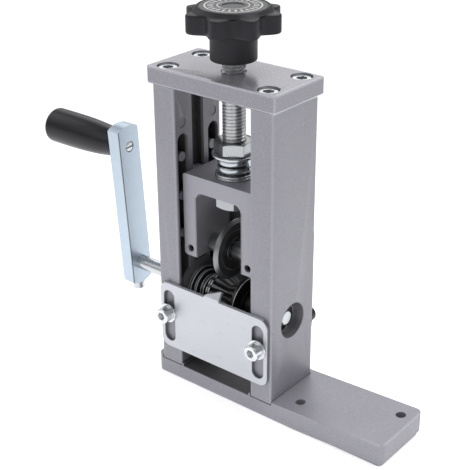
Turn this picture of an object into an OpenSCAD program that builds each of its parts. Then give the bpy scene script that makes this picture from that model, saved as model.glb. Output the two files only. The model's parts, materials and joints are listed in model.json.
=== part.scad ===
// Hand crank wire stripper.
// Millimetres, +Z up, +X along the bench foot, the operator's side faces -Y.
// The origin lies on the bench, straight below the adjusting screw.

/* [Body] */
// Gap between the two uprights
inner_gap = 47.8; // [42:0.2:60]
// Thickness of each upright
upright_t = 13.6; // [12:0.2:16]
// Free height between the upper nut and the top plate
head_room = 25.8; // [20:0.2:40]
// Radius along the uprights' standing edges
edge_r = 1; // [0.4:0.1:1.6]

/* [Base] */
// Thickness of the base under the body
base_h = 10.4; // [9.6:0.1:13]
// Thickness of the base at its free end
base_end_h = 13.6; // [12:0.1:16]
// Length of the bench foot beyond the body
base_ext = 67.3; // [50:0.5:100]
// Lip of the base to the left of the body
base_left_lip = 4.2; // [2:0.2:8]
// Lip of the base behind the body
base_rear_lip = 3.5; // [1:0.2:8]
// Radius of the base's standing corners
base_r = 4; // [2:0.5:8]
// Depth of the seat that takes the uprights
seat_depth = 1.9; // [1:0.1:2.4]
// Width of the locating rib beside each upright
rib_w = 1.2; // [0.8:0.1:3]
// Height of the locating ribs above the seat
rib_h = 1.7; // [0.8:0.1:3]
// Inset of the ground foot under the flange
foot_inset = 1.5; // [0.5:0.1:3]
// Rise of the flange's lower edge at the free end
flange_rise = 2.8; // [1:0.1:4]
// Where that rise starts, beyond the body
flange_start = 15; // [5:1:30]
// Diameter of the two bench holes
bench_hole_d = 5.2; // [4:0.1:6.5]
// First bench hole, beyond the body
hole_1_out = 12.1; // [8:0.1:20]
// First bench hole, in from the base's front edge
hole_1_in = 9.4; // [6:0.1:14]
// Second bench hole, in from the free end
hole_2_end = 7.3; // [5:0.1:15]
// Second bench hole, in from the base's rear edge
hole_2_in = 10; // [6:0.1:14]

/* [Top plate] */
// Thickness of the top plate
top_t = 9.2; // [8.6:0.1:14]
// Overhang of the top plate at each side
top_over_x = 2.2; // [0.5:0.1:3]
// Overhang of the top plate at the front and rear
top_over_y = 1.8; // [0.4:0.1:3]
// Cut across each standing corner
top_corner = 0.9; // [0.5:0.1:3]
// Bevel along the lower edges
top_bevel = 1; // [0.4:0.1:1.6]
// Distance of the top screws from the body's sides
top_screw_side = 6.5; // [5.6:0.1:8]
// Metal between a counterbore and the plate's front edge
top_cb_wall = 1.3; // [0.3:0.1:2]

/* [Upright castings] */
// Width of the groove that guides the yoke
groove_w = 8.8; // [7:0.1:10]
// Depth of that groove
groove_depth = 4.5; // [3:0.1:5.5]
// How far the groove runs on below the yoke
groove_run = 9; // [8:0.5:14]
// Width of the lightening pockets
pocket_w = 7.7; // [6:0.1:8]
// Wall between a pocket and the body's face
pocket_wall = 2.15; // [1.6:0.05:3]
// Depth of the pockets
pocket_depth = 7; // [4:0.1:8]
// Distance from the uprights' top down to the pockets
pocket_down = 25; // [21:0.5:40]
// Diameter of the ejector bosses in the pockets
boss_d = 5; // [3:0.1:6]
// Distance from a pocket's top down to the first boss
boss_down = 12.5; // [8:0.1:16]
// Distance from one boss to the next
boss_pitch = 21.2; // [16:0.1:22]
// Radius of the thick ring of metal round the bearing
housing_r = 16; // [14:0.5:18]

/* [Drive] */
// Height of the drive shaft above the bench
shaft_z = 51.3; // [48:0.1:56]
// Diameter of the drive shaft
shaft_d = 8; // [7:0.1:8.5]
// Length of the shaft's end beyond the right retaining ring
shaft_stub = 1.35; // [0.8:0.05:2.4]
// Outer diameter of the ball bearings
bearing_od = 19; // [18:0.1:22]
// Width of the ball bearings
bearing_w = 6; // [5:0.1:7]
// Thickness of the lip that the bearings rest on
bearing_lip = 1.5; // [1:0.1:2]
// Diameter over the feed roller's teeth
roller_d = 24; // [22:0.2:26]
// Length of the feed roller
roller_len = 16; // [10:0.2:17]
// Number of teeth on the feed roller
roller_teeth = 18; // [10:1:24]
// Depth of the notches between the roller's teeth
tooth_depth = 1.5; // [0.8:0.1:2.4]
// Depth of the V groove round the roller's middle
vee_depth = 3.4; // [1:0.1:4.5]
// Thickness of the guide discs
disc_t = 2.1; // [1.2:0.1:2.4]
// Diameter of the left guide disc
left_disc_d = 25.6; // [24.4:0.1:30]
// Diameter of the right guide disc
right_disc_d = 28.8; // [25:0.1:33.8]
// Thickness of the spacer beside the right guide disc
roller_spacer_t = 1.4; // [0.8:0.1:2]

/* [Blade] */
// Diameter of the cutting blade
blade_d = 33; // [30:0.2:35]
// Thickness of the cutting blade
blade_t = 3.4; // [2:0.1:4]
// Width of the ground bevel
blade_bevel = 1.9; // [1.5:0.1:4]
// Gap between the blade and the roller's rims as drawn
nip_gap = 0.5; // [0.4:0.1:2]
// Room between the blade's edge and the body's faces
blade_room = 1.25; // [1:0.05:4]
// How far the blade lies to the left of the adjusting screw
blade_left = 0.9; // [0:0.1:1.5]
// Diameter of the blade's axle
axle_d = 8; // [6:0.1:9.5]
// Wall of the sleeves beside the blade
sleeve_wall = 0.8; // [0.5:0.1:2]

/* [Yoke] */
// Gap between the yoke and each upright
yoke_gap = 0.9; // [0.4:0.1:2]
// Depth of the yoke
yoke_d = 26.6; // [22:0.2:32]
// Thickness of each leg
leg_t = 8.4; // [7:0.1:9]
// Thickness of the bar across the top
bar_t = 8.8; // [6:0.1:10.5]
// Room between the blade and the adjusting screw's end
screw_room = 7.15; // [3:0.05:12]
// Metal below the blade's axle in each leg
leg_foot = 0.3; // [0.2:0.1:4]
// Radius inside the yoke's upper corners
yoke_inner_r = 4; // [2:0.1:6]
// Radius outside the yoke's upper corners
yoke_outer_r = 1.5; // [0.5:0.1:3]
// Clearance of each tongue in its groove
tongue_gap = 0.25; // [0.1:0.05:0.4]

/* [Adjusting screw] */
// Diameter of the adjusting screw
rod_d = 12; // [11:0.1:12.6]
// Width across flats of its nuts
nut_af = 18; // [17.4:0.1:19]
// Height of the nut above the yoke
upper_nut_h = 6.7; // [5:0.1:7]
// Height of the nut below the yoke's bar
lower_nut_h = 7; // [5:0.1:8]
// Diameter of the large flat washer
flat_washer_d = 23; // [21:0.2:26]
// Thickness of the large flat washer
flat_washer_t = 1.25; // [0.8:0.05:2.4]
// Thickness of each spring washer
spring_washer_t = 4.5; // [3:0.1:5.4]
// Outer diameter of the spring washers
spring_washer_d = 17.4; // [14:0.1:21]
// Thickness of the lower thrust ring on the yoke
thrust_t = 1.2; // [1:0.1:3]
// Thickness of the upper thrust ring
upper_thrust_t = 1.2; // [1:0.1:3]
// Outer diameter of the lower thrust ring
thrust_d = 20; // [18:0.2:24]

/* [Knob] */
// Diameter over the knob's lobes
knob_d = 48; // [42:0.5:56]
// Diameter between the knob's hollows
knob_hollow_d = 38; // [35:0.5:44]
// Number of lobes
knob_lobes = 8; // [5:1:10]
// Height of the lobes' grip
grip_h = 9.2; // [7:0.2:14]
// Diameter of the hub
hub_d = 23; // [20:0.5:28]
// Height of the hub below the lobes
hub_h = 14.5; // [10:0.5:20]
// Gap between the hub and the top plate
knob_gap = 5.8; // [4:0.1:10]
// Height of the crown above the lobes
crown_h = 2.4; // [1.6:0.1:5]
// Distance of the cap's edge from the knob's hollows
cap_rim = 2.5; // [2:0.1:5]

/* [Crank] */
// Distance from the drive shaft to the handle
crank_throw = 71; // [50:0.5:90]
// Width of the crank arm
crank_w = 14.5; // [13:0.1:18]
// Thickness of the crank arm
crank_t = 8; // [6:0.1:10]
// Gap between the body and the crank arm
crank_gap = 31.2; // [12:0.1:40]
// Lean of the crank arm towards the operator, in degrees
crank_lean = 3.8; // [0:0.1:30]
// Length of the arm beyond the handle's centre
crank_top_l = 10; // [8:0.1:16]
// Length of the arm beyond the shaft's centre
crank_foot_l = 11; // [9:0.1:16]
// Height of the arch at each end of the arm
crank_arch = 2; // [1:0.1:3]
// Length of the handle
handle_l = 49; // [35:0.5:80]
// Diameter of the handle at its free end
handle_d = 19.4; // [17:0.2:26]
// Diameter of the handle beside the arm
handle_neck_d = 14.8; // [13:0.2:18]

/* [Guide plates] */
// Distance of the plates' sides from the body's sides
plate_inset = 1.5; // [0.5:0.1:3]
// Distance of the plate screws from the body's sides
plate_screw_in = 7.2; // [6.4:0.1:8]
// Height of the front guide plate
plate_h = 38.8; // [32:0.2:40]
// Thickness of both plates
plate_t = 2; // [1.5:0.1:2.6]
// Radius of the plates' corners
plate_r = 5; // [2:0.5:8]
// Height of the front plate's top above the drive shaft
plate_top_up = 7.3; // [5:0.1:8]
// Width of the slots
slot_w = 7.4; // [7:0.1:7.8]
// Distance of the slots' lower ends from the plate's edge
slot_up = 3.6; // [3:0.1:5]
// Distance of the slots' upper ends from the plate's edge
slot_down = 4.4; // [3:0.1:6]
// Width of the tongue on the front plate
tongue_w = 10.4; // [6:0.2:13]
// How far the sloping part of the tongue reaches in
tongue_run = 2.3; // [1:0.1:4]
// How far the sloping part of the tongue rises
tongue_rise = 3.2; // [1:0.1:4]
// How far the tongue's end slants down to the left
tongue_fall = 3.5; // [0:0.1:4]
// Height of the rear inlet plate
rear_plate_h = 64; // [50:0.5:76]
// Distance of the rear plate's lower edge below the drive shaft
rear_plate_down = 17.3; // [14:0.1:20]
// Diameter of the small inlet hole
inlet_small_d = 5; // [3:0.1:6]
// Diameter of the medium inlet hole
inlet_medium_d = 8; // [6:0.1:9]
// Diameter of the large inlet hole
inlet_large_d = 12; // [9:0.1:13]
// Distance from one inlet hole to the next
inlet_pitch = 13; // [12:0.1:15]

/* [Hidden] */
$fn = 64;

// Clearances
fit_gap = 0.02;
slide_gap = 0.05;
run_gap = 0.08;
side_gap = 0.2;
over = 1;

// Screws: shank, head diameter, head height and key width
m4 = [4, 7, 4, 3];
m5 = [5, 8.5, 5, 4];
m6 = [6, 10, 6, 5];
key_depth_share = 0.55;
tip_chamfer = 0.6;
head_chamfer = 0.5;

// Washers under the plate screws
washer_d = 10.8;
washer_t = 1;

// Places that follow the body
seat_z = base_h - seat_depth;
body_w = inner_gap + 2*upright_t;
body_d = blade_d + 2*blade_room;
front_y = -body_d/2;
rear_y = body_d/2;
inner_x = inner_gap/2;
upright_x = body_w/2 - upright_t/2;
base_left = -body_w/2 - base_left_lip;
base_right = body_w/2 + base_ext;
base_rear = rear_y + base_rear_lip;

// Bench holes
hole_1 = [body_w/2 + hole_1_out, front_y + hole_1_in];
hole_2 = [base_right - hole_2_end, base_rear - hole_2_in];

// Base screws, driven up from below
base_screw_y = 9;
base_screw_l = 16;
base_cb_depth = 5.4;
cb_gap = 0.35;

// Bearings
bearing_in = inner_x + bearing_lip;
bearing_out = bearing_in + bearing_w;
lip_bore_d = 13;
inner_ring_od = shaft_d + 2.6;
ball_d = 3.2;
ball_count = 8;
ring_gap = 2.6;
outer_ring_id = bearing_od - 2.6;
ball_pitch_r = (inner_ring_od + outer_ring_id)/4;
track_gap = 0.03;

// Retaining rings beside the bearings
clip_t = 0.9;
clip_gap = 0.25;
clip_od = 13.4;
clip_depth = 0.5;
clip_mouth = 5;

// Drive shaft
shaft_right = bearing_out + clip_gap + clip_t + shaft_stub;
arm_in = -body_w/2 - crank_gap;
arm_out = arm_in - crank_t;
shaft_chamfer = 0.5;

// Left collar: stepped rings beside the left upright
collar_ring_1 = [11.7, 2];
collar_ring_2 = [10.3, 1.6];
collar_ring_3 = [8.2, 2.4];
collar_groove = [7.4, 0.9];
collar_hub_r = 6.6;
collar_nose_r = 5.1;
collar_gap = 0.5;
collar_side = inner_x - collar_gap;
roller_x = -blade_left - roller_len/2;
left_disc_x = roller_x - disc_t;
right_disc_x = roller_x + roller_len;
spacer_x = right_disc_x + disc_t;
spacer_r = 8.2;
tooth_turn = 4.7;
notch_half = 1.3;

// Yoke and blade
blade_x = -blade_left;
blade_z = shaft_z + roller_d/2 + nip_gap + blade_d/2;
rod_tip = 2;
rod_bottom = blade_z + blade_d/2 + screw_room;
lower_nut_z = rod_bottom + rod_tip;
bar_z = lower_nut_z + lower_nut_h + slide_gap;
yoke_top = bar_z + bar_t;
yoke_w = inner_gap - 2*yoke_gap;
leg_bottom = blade_z - axle_d/2 - leg_foot;
leg_in = yoke_w/2 - leg_t;
leg_x = yoke_w/2 - leg_t/2;
leg_chamfer_x = 1.6;
leg_chamfer_z = 1;
tongue_tip = inner_x + groove_depth - tongue_gap;
tongue_half = groove_w/2 - tongue_gap;
axle_inset = 0.3;
axle_chamfer = 0.4;
grub_d = 4;
grub_key = 2;
grub_in = 1.2;
grub_l = yoke_d/2 - grub_in - axle_d/2 - fit_gap;
blade_edge_t = 0.3;
blade_hub_r = 6.6;
blade_relief = 0.5;
blade_ring_r = 10.8;
blade_well_r = 5.6;
blade_well = 0.9;
sleeve_od = axle_d + 2*sleeve_wall;

// Stack on the adjusting screw
thrust_z = yoke_top;
upper_thrust_d = thrust_d - 0.6;
spring_z = yoke_top + thrust_t + upper_thrust_t + slide_gap;
flat_z = spring_z + 2*spring_washer_t;
upper_nut_z = flat_z + flat_washer_t;
rod_chamfer = 0.9;
washer_bore_d = rod_d + 2*side_gap;
upper_nut_angle = -24.4;
lower_nut_angle = 6;
nut_turn_share = 0.58;
spring_slit = 1.4;
spring_slit_tilt = 28;
spring_slit_angles = [-130, 10];

// Top plate and its screws, driven down into the uprights
frame_top = upper_nut_z + upper_nut_h + head_room;
top_z = frame_top + top_t;
top_cb_depth = 6.8;
top_screw_l = 16;
top_cb_d = m6[1] + 2*cb_gap;
screw_well = 1.5;
top_screw_x = body_w/2 - top_screw_side;
top_screw_y = body_d/2 + top_over_y - top_cb_wall - top_cb_d/2;

// Grooves and pockets in the uprights
groove_bottom = leg_bottom + leg_chamfer_z - groove_run;
pocket_y = body_d/2 - pocket_wall - pocket_w/2;
pocket_top = frame_top - pocket_down;

// Knob
hub_z = top_z + knob_gap;
grip_z = hub_z + hub_h;
crown_z = grip_z + grip_h;
hub_chamfer = 0.8;
hub_fillet = 0.8;
knob_edge = 0.6;
cap_d = knob_hollow_d - 2*cap_rim;
crown_flat_r = cap_d/2 + 0.8;
crown_foot_r = knob_hollow_d/2 + 0.6;
crown_foot_h = 0.4;
rod_top = grip_z + 4;
cap_t = 1.4;
cap_lip = 0.2;
cap_dimple_r = 5.2;
lobe_points = 12;
knob_angle = -5.6;

// Crank
crank_turn = [crank_lean, 0, 0];
handle_gap = 0.4;
handle_bore_d = m6[0] + 0.3;
handle_rim = 2.2;
handle_well_d = m6[1] + 1.4;
handle_round = (handle_d - handle_well_d)/2 - handle_rim;
handle_well = 6;
bolt_head_h = 4;
bolt_slot_w = 1.2;
bolt_slot_h = 0.8;
handle_belly_share = 0.45;
handle_waist_share = 0.16;
handle_belly_d = handle_neck_d + 0.9*(handle_d - handle_neck_d);
handle_waist_d = handle_neck_d + 0.4*(handle_d - handle_neck_d);
clamp_washer_d = 8;
clamp_washer_t = 0.8;
clamp_screw_l = 7;

// Guide plates
plate_shift = 0.3;
plate_w = body_w - 2*plate_inset;
plate_top = shaft_z + plate_top_up;
plate_bottom = plate_top - plate_h;
plate_screw_x = body_w/2 - plate_screw_in;
plate_screw_z = shaft_z - 10.6;
slot_x = plate_screw_x - plate_shift;
slot_l = plate_h - slot_up - slot_down;
plate_back = front_y - slide_gap;
plate_front = plate_back - plate_t;
plate_screw_l = 12;
tongue_bend_r = 0.8;
tongue_stem = 0.4;
tongue_slant = 1.4;
tongue_left = -5.9;
rear_plate_bottom = shaft_z - rear_plate_down;
rear_screw_z = shaft_z - 9.3;
rear_front = rear_y + plate_t;
inlet_z = shaft_z + roller_d/2;
plate_hole_gap = 0.25;

// A rectangle from one corner to the other, with round corners
module round_rect(lo, hi, r) {
    w = hi[0] - lo[0];
    h = hi[1] - lo[1];
    translate([lo[0] + r, lo[1]]) square([w - 2*r, h]);
    translate([lo[0], lo[1] + r]) square([w, h - 2*r]);
    for (x = [lo[0] + r, hi[0] - r], y = [lo[1] + r, hi[1] - r])
        translate([x, y]) circle(r = r);
}

// A straight slot with round ends, standing on its lower end
module slot_shape(w, l) {
    translate([-w/2, w/2]) square([w, l - w]);
    for (y = [w/2, l - w/2]) translate([0, y]) circle(d = w);
}

// Carries a shape drawn on X and Z to the plane y, thickened towards +Y
module along_y(y, t) {
    translate([0, y + t, 0]) rotate([90, 0, 0]) linear_extrude(t) children();
}

// Carries a shape drawn on Y and Z to the plane x, thickened towards +X
module along_x(x, t) {
    translate([x, 0, 0]) rotate([90, 0, 90]) linear_extrude(t) children();
}

// A profile of radius against X, turned about the X axis at height z
module turned_x(z) {
    translate([0, 0, z]) rotate([0, 90, 0]) rotate_extrude() children();
}

// A ring about the X axis
module ring_x(x, t, od, id, z) {
    turned_x(z) translate([id/2, x]) square([(od - id)/2, t]);
}

// A ring about the Z axis
module ring_z(z, t, od, id) {
    translate([0, 0, z]) difference() {
        cylinder(d = od, h = t);
        translate([0, 0, -over]) cylinder(d = id, h = t + 2*over);
    }
}

// A socket head screw: the head's seat is at z = 0, the shank points down
module cap_screw(s, l) {
    key_r = s[3]/sqrt(3);
    difference() {
        union() {
            rotate_extrude() polygon([
                [0, 0], [s[1]/2, 0], [s[1]/2, s[2] - head_chamfer],
                [s[1]/2 - head_chamfer, s[2]], [0, s[2]]
            ]);
            rotate_extrude() polygon([
                [0, over/2], [s[0]/2, over/2], [s[0]/2, tip_chamfer - l],
                [s[0]/2 - tip_chamfer, -l], [0, -l]
            ]);
        }
        translate([0, 0, s[2]*(1 - key_depth_share)])
            cylinder(r = key_r, h = s[2], $fn = 6);
    }
}

// A hexagon nut with its corners turned off, bored for the adjusting screw
module hex_nut(h) {
    corner_r = nut_af/sqrt(3);
    turned = (corner_r - nut_af/2)*nut_turn_share;
    difference() {
        intersection() {
            cylinder(r = corner_r, h = h, $fn = 6);
            rotate_extrude() polygon([
                [0, 0], [nut_af/2, 0], [corner_r, turned],
                [corner_r, h - turned], [nut_af/2, h], [0, h]
            ]);
        }
        translate([0, 0, -over]) cylinder(d = rod_d + 2*fit_gap, h = h + 2*over);
    }
}

// The base's outline, seen from above, drawn in by an inset
module base_outline(inset) {
    round_rect(
        [base_left + inset, front_y + inset],
        [base_right - inset, base_rear - inset],
        base_r - inset
    );
}

module base_plate() {
    flange_x = body_w/2 + flange_start;
    color([0.58, 0.57, 0.60]) difference() {
        union() {
            intersection() {
                linear_extrude(base_end_h + over) base_outline(0);
                along_y(front_y - over, body_d + base_rear_lip + 2*over) polygon([
                    [base_left - over, 0], [flange_x, 0],
                    [base_right, flange_rise], [base_right + over, flange_rise],
                    [base_right + over, base_end_h], [base_right, base_end_h],
                    [body_w/2 + side_gap, base_h], [base_left - over, base_h]
                ]);
            }
            linear_extrude(base_h/2) base_outline(foot_inset);
        }
        difference() {
            translate([-body_w/2 - side_gap, front_y - over, seat_z])
                cube([body_w + 2*side_gap, body_d + over + side_gap, base_h]);
            for (s = [-1, 1])
                translate([s*(inner_x - rib_w/2 - fit_gap) - rib_w/2, front_y, seat_z - over])
                    cube([rib_w, body_d, rib_h + over]);
        }
        for (p = [hole_1, hole_2])
            translate([p[0], p[1], -over]) cylinder(d = bench_hole_d, h = base_end_h + 2*over);
        base_screw_places() {
            translate([0, 0, -over]) cylinder(d = m5[1] + 2*cb_gap, h = base_cb_depth + over);
            translate([0, 0, -over]) cylinder(d = m5[0] + 2*run_gap, h = base_h + 2*over);
        }
    }
}

// The four places where a base screw enters an upright from below
module base_screw_places() {
    for (x = [-upright_x, upright_x], y = [-base_screw_y, base_screw_y])
        translate([x, y, 0]) children();
}

module base_screws() {
    color([0.75, 0.76, 0.78]) base_screw_places()
        translate([0, 0, base_cb_depth]) rotate([180, 0, 0]) cap_screw(m5, base_screw_l);
}

// One pocket in an upright's inner face, with its bosses, cut clear of the housing
module pocket_cut(y) {
    floor_x = inner_x + pocket_depth;
    difference() {
        along_x(inner_x - over, pocket_depth + over) difference() {
            translate([y, shaft_z]) slot_shape(pocket_w, pocket_top - shaft_z);
            translate([0, shaft_z]) circle(r = housing_r);
        }
        for (k = [0:2])
            translate([inner_x + edge_r/2, y, pocket_top - boss_down - k*boss_pitch])
                rotate([0, 90, 0]) cylinder(d = boss_d, h = floor_x - inner_x);
    }
}

// The right upright; the left one is its mirror image
module upright() {
    mark_d = 5.5;
    mark_depth = 0.4;
    mark_up = 5.8;
    difference() {
        translate([0, 0, seat_z]) linear_extrude(frame_top - seat_z)
            round_rect([inner_x, front_y], [body_w/2, rear_y], edge_r);
        translate([inner_x - over, -groove_w/2, groove_bottom])
            cube([groove_depth + over, groove_w, frame_top]);
        for (y = [-pocket_y, pocket_y]) {
            pocket_cut(y);
            translate([inner_x - over, y, pocket_top + mark_up]) rotate([0, 90, 0])
                cylinder(d = mark_d, h = mark_depth + over);
        }
        translate([bearing_in, 0, shaft_z]) rotate([0, 90, 0])
            cylinder(d = bearing_od + 2*fit_gap, h = body_w);
        translate([inner_x - over, 0, shaft_z]) rotate([0, 90, 0])
            cylinder(d = lip_bore_d, h = upright_t);
        for (y = [-base_screw_y, base_screw_y])
            translate([upright_x, y, seat_z - over])
                cylinder(d = m5[0] + 2*fit_gap, h = base_screw_l - seat_z + base_cb_depth + 2*over);
        for (y = [-top_screw_y, top_screw_y])
            translate([top_screw_x, y, top_z - top_cb_depth - top_screw_l - screw_well])
                cylinder(d = m6[0] + 2*fit_gap, h = top_screw_l + top_t);
        translate([plate_screw_x, front_y, plate_screw_z]) rotate([-90, 0, 0])
            translate([0, 0, -over])
            cylinder(d = m5[0] + 2*fit_gap, h = plate_screw_l - plate_t - washer_t + 2*over);
        translate([plate_screw_x, rear_y, rear_screw_z]) rotate([90, 0, 0])
            translate([0, 0, -over])
            cylinder(d = m5[0] + 2*fit_gap, h = plate_screw_l - plate_t - washer_t + 2*over);
    }
}

module right_upright() {
    color([0.58, 0.57, 0.60]) upright();
}

module left_upright() {
    color([0.58, 0.57, 0.60]) mirror([1, 0, 0]) upright();
}

// The four places of the top screws, on the floors of their counterbores
module top_screw_places() {
    for (x = [-top_screw_x, top_screw_x], y = [-top_screw_y, top_screw_y])
        translate([x, y, top_z - top_cb_depth]) children();
}

module top_plate() {
    half_w = body_w/2 + top_over_x;
    half_d = body_d/2 + top_over_y;
    c = top_corner;
    color([0.66, 0.65, 0.68]) difference() {
        intersection() {
            translate([0, 0, frame_top]) linear_extrude(top_t) polygon([
                [c - half_w, -half_d], [half_w - c, -half_d], [half_w, c - half_d],
                [half_w, half_d - c], [half_w - c, half_d], [c - half_w, half_d],
                [-half_w, half_d - c], [-half_w, c - half_d]
            ]);
            along_y(-half_d - over, 2*half_d + 2*over) polygon([
                [top_bevel - half_w, frame_top], [half_w - top_bevel, frame_top],
                [half_w, frame_top + top_bevel], [half_w, top_z],
                [-half_w, top_z], [-half_w, frame_top + top_bevel]
            ]);
            along_x(-half_w - over, 2*half_w + 2*over) polygon([
                [top_bevel - half_d, frame_top], [half_d - top_bevel, frame_top],
                [half_d, frame_top + top_bevel], [half_d, top_z],
                [-half_d, top_z], [-half_d, frame_top + top_bevel]
            ]);
        }
        translate([0, 0, frame_top - over]) cylinder(d = rod_d + 2*run_gap, h = top_t + 2*over);
        top_screw_places() {
            cylinder(d = top_cb_d, h = top_cb_depth + over);
            translate([0, 0, -top_t]) cylinder(d = m6[0] + 2*run_gap, h = top_t + over);
        }
    }
}

module top_plate_screws() {
    color([0.72, 0.73, 0.76]) top_screw_places() cap_screw(m6, top_screw_l);
}

module rear_inlet_plate() {
    holes = [
        [-inlet_pitch, inlet_small_d], [0, inlet_large_d], [inlet_pitch, inlet_medium_d]
    ];
    color([0.80, 0.81, 0.83]) along_y(rear_y, plate_t) difference() {
        round_rect(
            [-plate_w/2, rear_plate_bottom],
            [plate_w/2, rear_plate_bottom + rear_plate_h],
            plate_r
        );
        for (h = holes) translate([blade_x + h[0], inlet_z + h[1]/2]) circle(d = h[1]);
        for (x = [-plate_screw_x, plate_screw_x])
            translate([x, rear_screw_z]) circle(d = m5[0] + 2*plate_hole_gap);
    }
}

// A washer on a plate screw, its back face at y, its thickness towards -Y
module plate_washer(x, y, z) {
    translate([x, y, z]) rotate([90, 0, 0]) difference() {
        cylinder(d = washer_d, h = washer_t);
        translate([0, 0, -over]) cylinder(d = m5[0] + 2*plate_hole_gap, h = washer_t + 2*over);
    }
}

module rear_plate_washers() {
    color([0.10, 0.10, 0.11]) for (x = [-plate_screw_x, plate_screw_x])
        plate_washer(x, rear_front + washer_t, rear_screw_z);
}

module rear_plate_screws() {
    color([0.10, 0.10, 0.11]) for (x = [-plate_screw_x, plate_screw_x])
        translate([x, rear_front + washer_t, rear_screw_z])
            rotate([-90, 0, 0]) cap_screw(m5, plate_screw_l);
}

// The front plate's tongue in side view: it leaves the top edge, bends in and climbs
module tongue_profile(top) {
    slope = atan2(tongue_rise, tongue_run);
    reach = norm([tongue_rise, tongue_run]);
    outer_r = plate_t + tongue_bend_r;
    translate([plate_front, top - plate_t]) square([plate_t, plate_t + tongue_stem]);
    translate([plate_back + tongue_bend_r, top + tongue_stem]) {
        intersection() {
            difference() {
                circle(r = outer_r);
                circle(r = tongue_bend_r);
            }
            polygon([
                [0, -fit_gap], [-2*outer_r, -fit_gap], [-2*outer_r, 2*outer_r],
                [-2*outer_r*sin(slope), 2*outer_r*cos(slope)]
            ]);
        }
        rotate(slope) translate([-fit_gap, tongue_bend_r]) square([reach + fit_gap, plate_t]);
    }
}

// The tongue's outline from the front: upright on the right, its end slanting down to the left
module tongue_outline(top) {
    slope = atan2(tongue_rise, tongue_run);
    high = top + tongue_stem + tongue_rise + (plate_t + tongue_bend_r)*cos(slope);
    polygon([
        [tongue_left, top - plate_t], [tongue_left + tongue_w, top - plate_t],
        [tongue_left + tongue_w, high], [tongue_left + tongue_slant, high - tongue_fall],
        [tongue_left, top]
    ]);
}

module front_guide_plate() {
    color([0.83, 0.84, 0.86]) translate([plate_shift, 0, 0]) {
        along_y(plate_front, plate_t) difference() {
            round_rect([-plate_w/2, plate_bottom], [plate_w/2, plate_top], plate_r);
            for (x = [-slot_x, slot_x])
                translate([x, plate_bottom + slot_up]) slot_shape(slot_w, slot_l);
        }
        intersection() {
            along_x(tongue_left, tongue_w) tongue_profile(plate_top);
            along_y(plate_front - over, body_d/2) tongue_outline(plate_top);
        }
    }
}

module front_plate_washers() {
    color([0.75, 0.76, 0.78]) for (x = [-plate_screw_x, plate_screw_x])
        plate_washer(x, plate_front - slide_gap, plate_screw_z);
}

module front_plate_screws() {
    color([0.75, 0.76, 0.78]) for (x = [-plate_screw_x, plate_screw_x])
        translate([x, plate_front - slide_gap - washer_t, plate_screw_z])
            rotate([90, 0, 0]) cap_screw(m5, plate_screw_l);
}

// Draws its children for the right bearing and, mirrored, for the left one
module both_sides() {
    for (s = [0, 1]) mirror([s, 0, 0]) children();
}

// The round track that the balls run in, as half a section
module ball_track() {
    translate([ball_pitch_r, bearing_in + bearing_w/2]) circle(d = ball_d + 2*track_gap);
}

module bearing_outer_rings() {
    color([0.70, 0.71, 0.73]) both_sides() turned_x(shaft_z) difference() {
        translate([outer_ring_id/2, bearing_in]) square([(bearing_od - outer_ring_id)/2, bearing_w]);
        ball_track();
    }
}

module bearing_inner_rings() {
    color([0.70, 0.71, 0.73]) both_sides() turned_x(shaft_z) difference() {
        translate([shaft_d/2 + fit_gap, bearing_in])
            square([(inner_ring_od - shaft_d)/2 - fit_gap, bearing_w]);
        ball_track();
    }
}

module bearing_balls() {
    color([0.85, 0.86, 0.88]) both_sides() for (k = [0:ball_count - 1])
        translate([bearing_in + bearing_w/2, 0, shaft_z]) rotate([k*360/ball_count, 0, 0])
            translate([0, ball_pitch_r, 0]) sphere(d = ball_d);
}

// Spring clips in the shaft's grooves, just outside the bearings
module retaining_rings() {
    groove_r = shaft_d/2 - clip_depth;
    color([0.12, 0.12, 0.13]) both_sides() translate([bearing_out + clip_gap, 0, shaft_z])
        rotate([90, 0, 90]) linear_extrude(clip_t) difference() {
            circle(d = clip_od);
            circle(r = groove_r + fit_gap);
            translate([-clip_mouth/2, -clip_od]) square([clip_mouth, clip_od]);
        }
}

module drive_shaft() {
    c = shaft_chamfer;
    r = shaft_d/2;
    groove_w_x = clip_t + 2*slide_gap;
    color([0.78, 0.80, 0.83]) difference() {
        turned_x(shaft_z) polygon([
            [0, arm_out + c], [r - c, arm_out + c], [r, arm_out + 2*c],
            [r, shaft_right - c], [r - c, shaft_right], [0, shaft_right]
        ]);
        both_sides() ring_x(bearing_out + clip_gap - slide_gap, groove_w_x,
            shaft_d + 2*over, shaft_d - 2*clip_depth, shaft_z);
    }
}

// A stepped collar between the left bearing and the roller's left disc
module left_collar() {
    x1 = -collar_side + collar_ring_1[1];
    x2 = x1 + collar_groove[1];
    x3 = x2 + collar_ring_2[1];
    x4 = x3 + collar_groove[1];
    x5 = x4 + collar_ring_3[1];
    bore_r = shaft_d/2 + fit_gap;
    color([0.13, 0.13, 0.14]) turned_x(shaft_z) polygon([
        [bore_r, -bearing_in], [collar_nose_r, -bearing_in], [collar_nose_r, -collar_side],
        [collar_ring_1[0], -collar_side], [collar_ring_1[0], x1], [collar_groove[0], x1],
        [collar_groove[0], x2], [collar_ring_2[0], x2], [collar_ring_2[0], x3],
        [collar_groove[0], x3], [collar_groove[0], x4], [collar_ring_3[0], x4],
        [collar_ring_3[0], x5], [collar_hub_r, x5], [collar_hub_r, left_disc_x],
        [bore_r, left_disc_x]
    ]);
}

module left_guide_disc() {
    color([0.16, 0.16, 0.17])
        ring_x(left_disc_x, disc_t, left_disc_d, shaft_d + 2*fit_gap, shaft_z);
}

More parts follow.
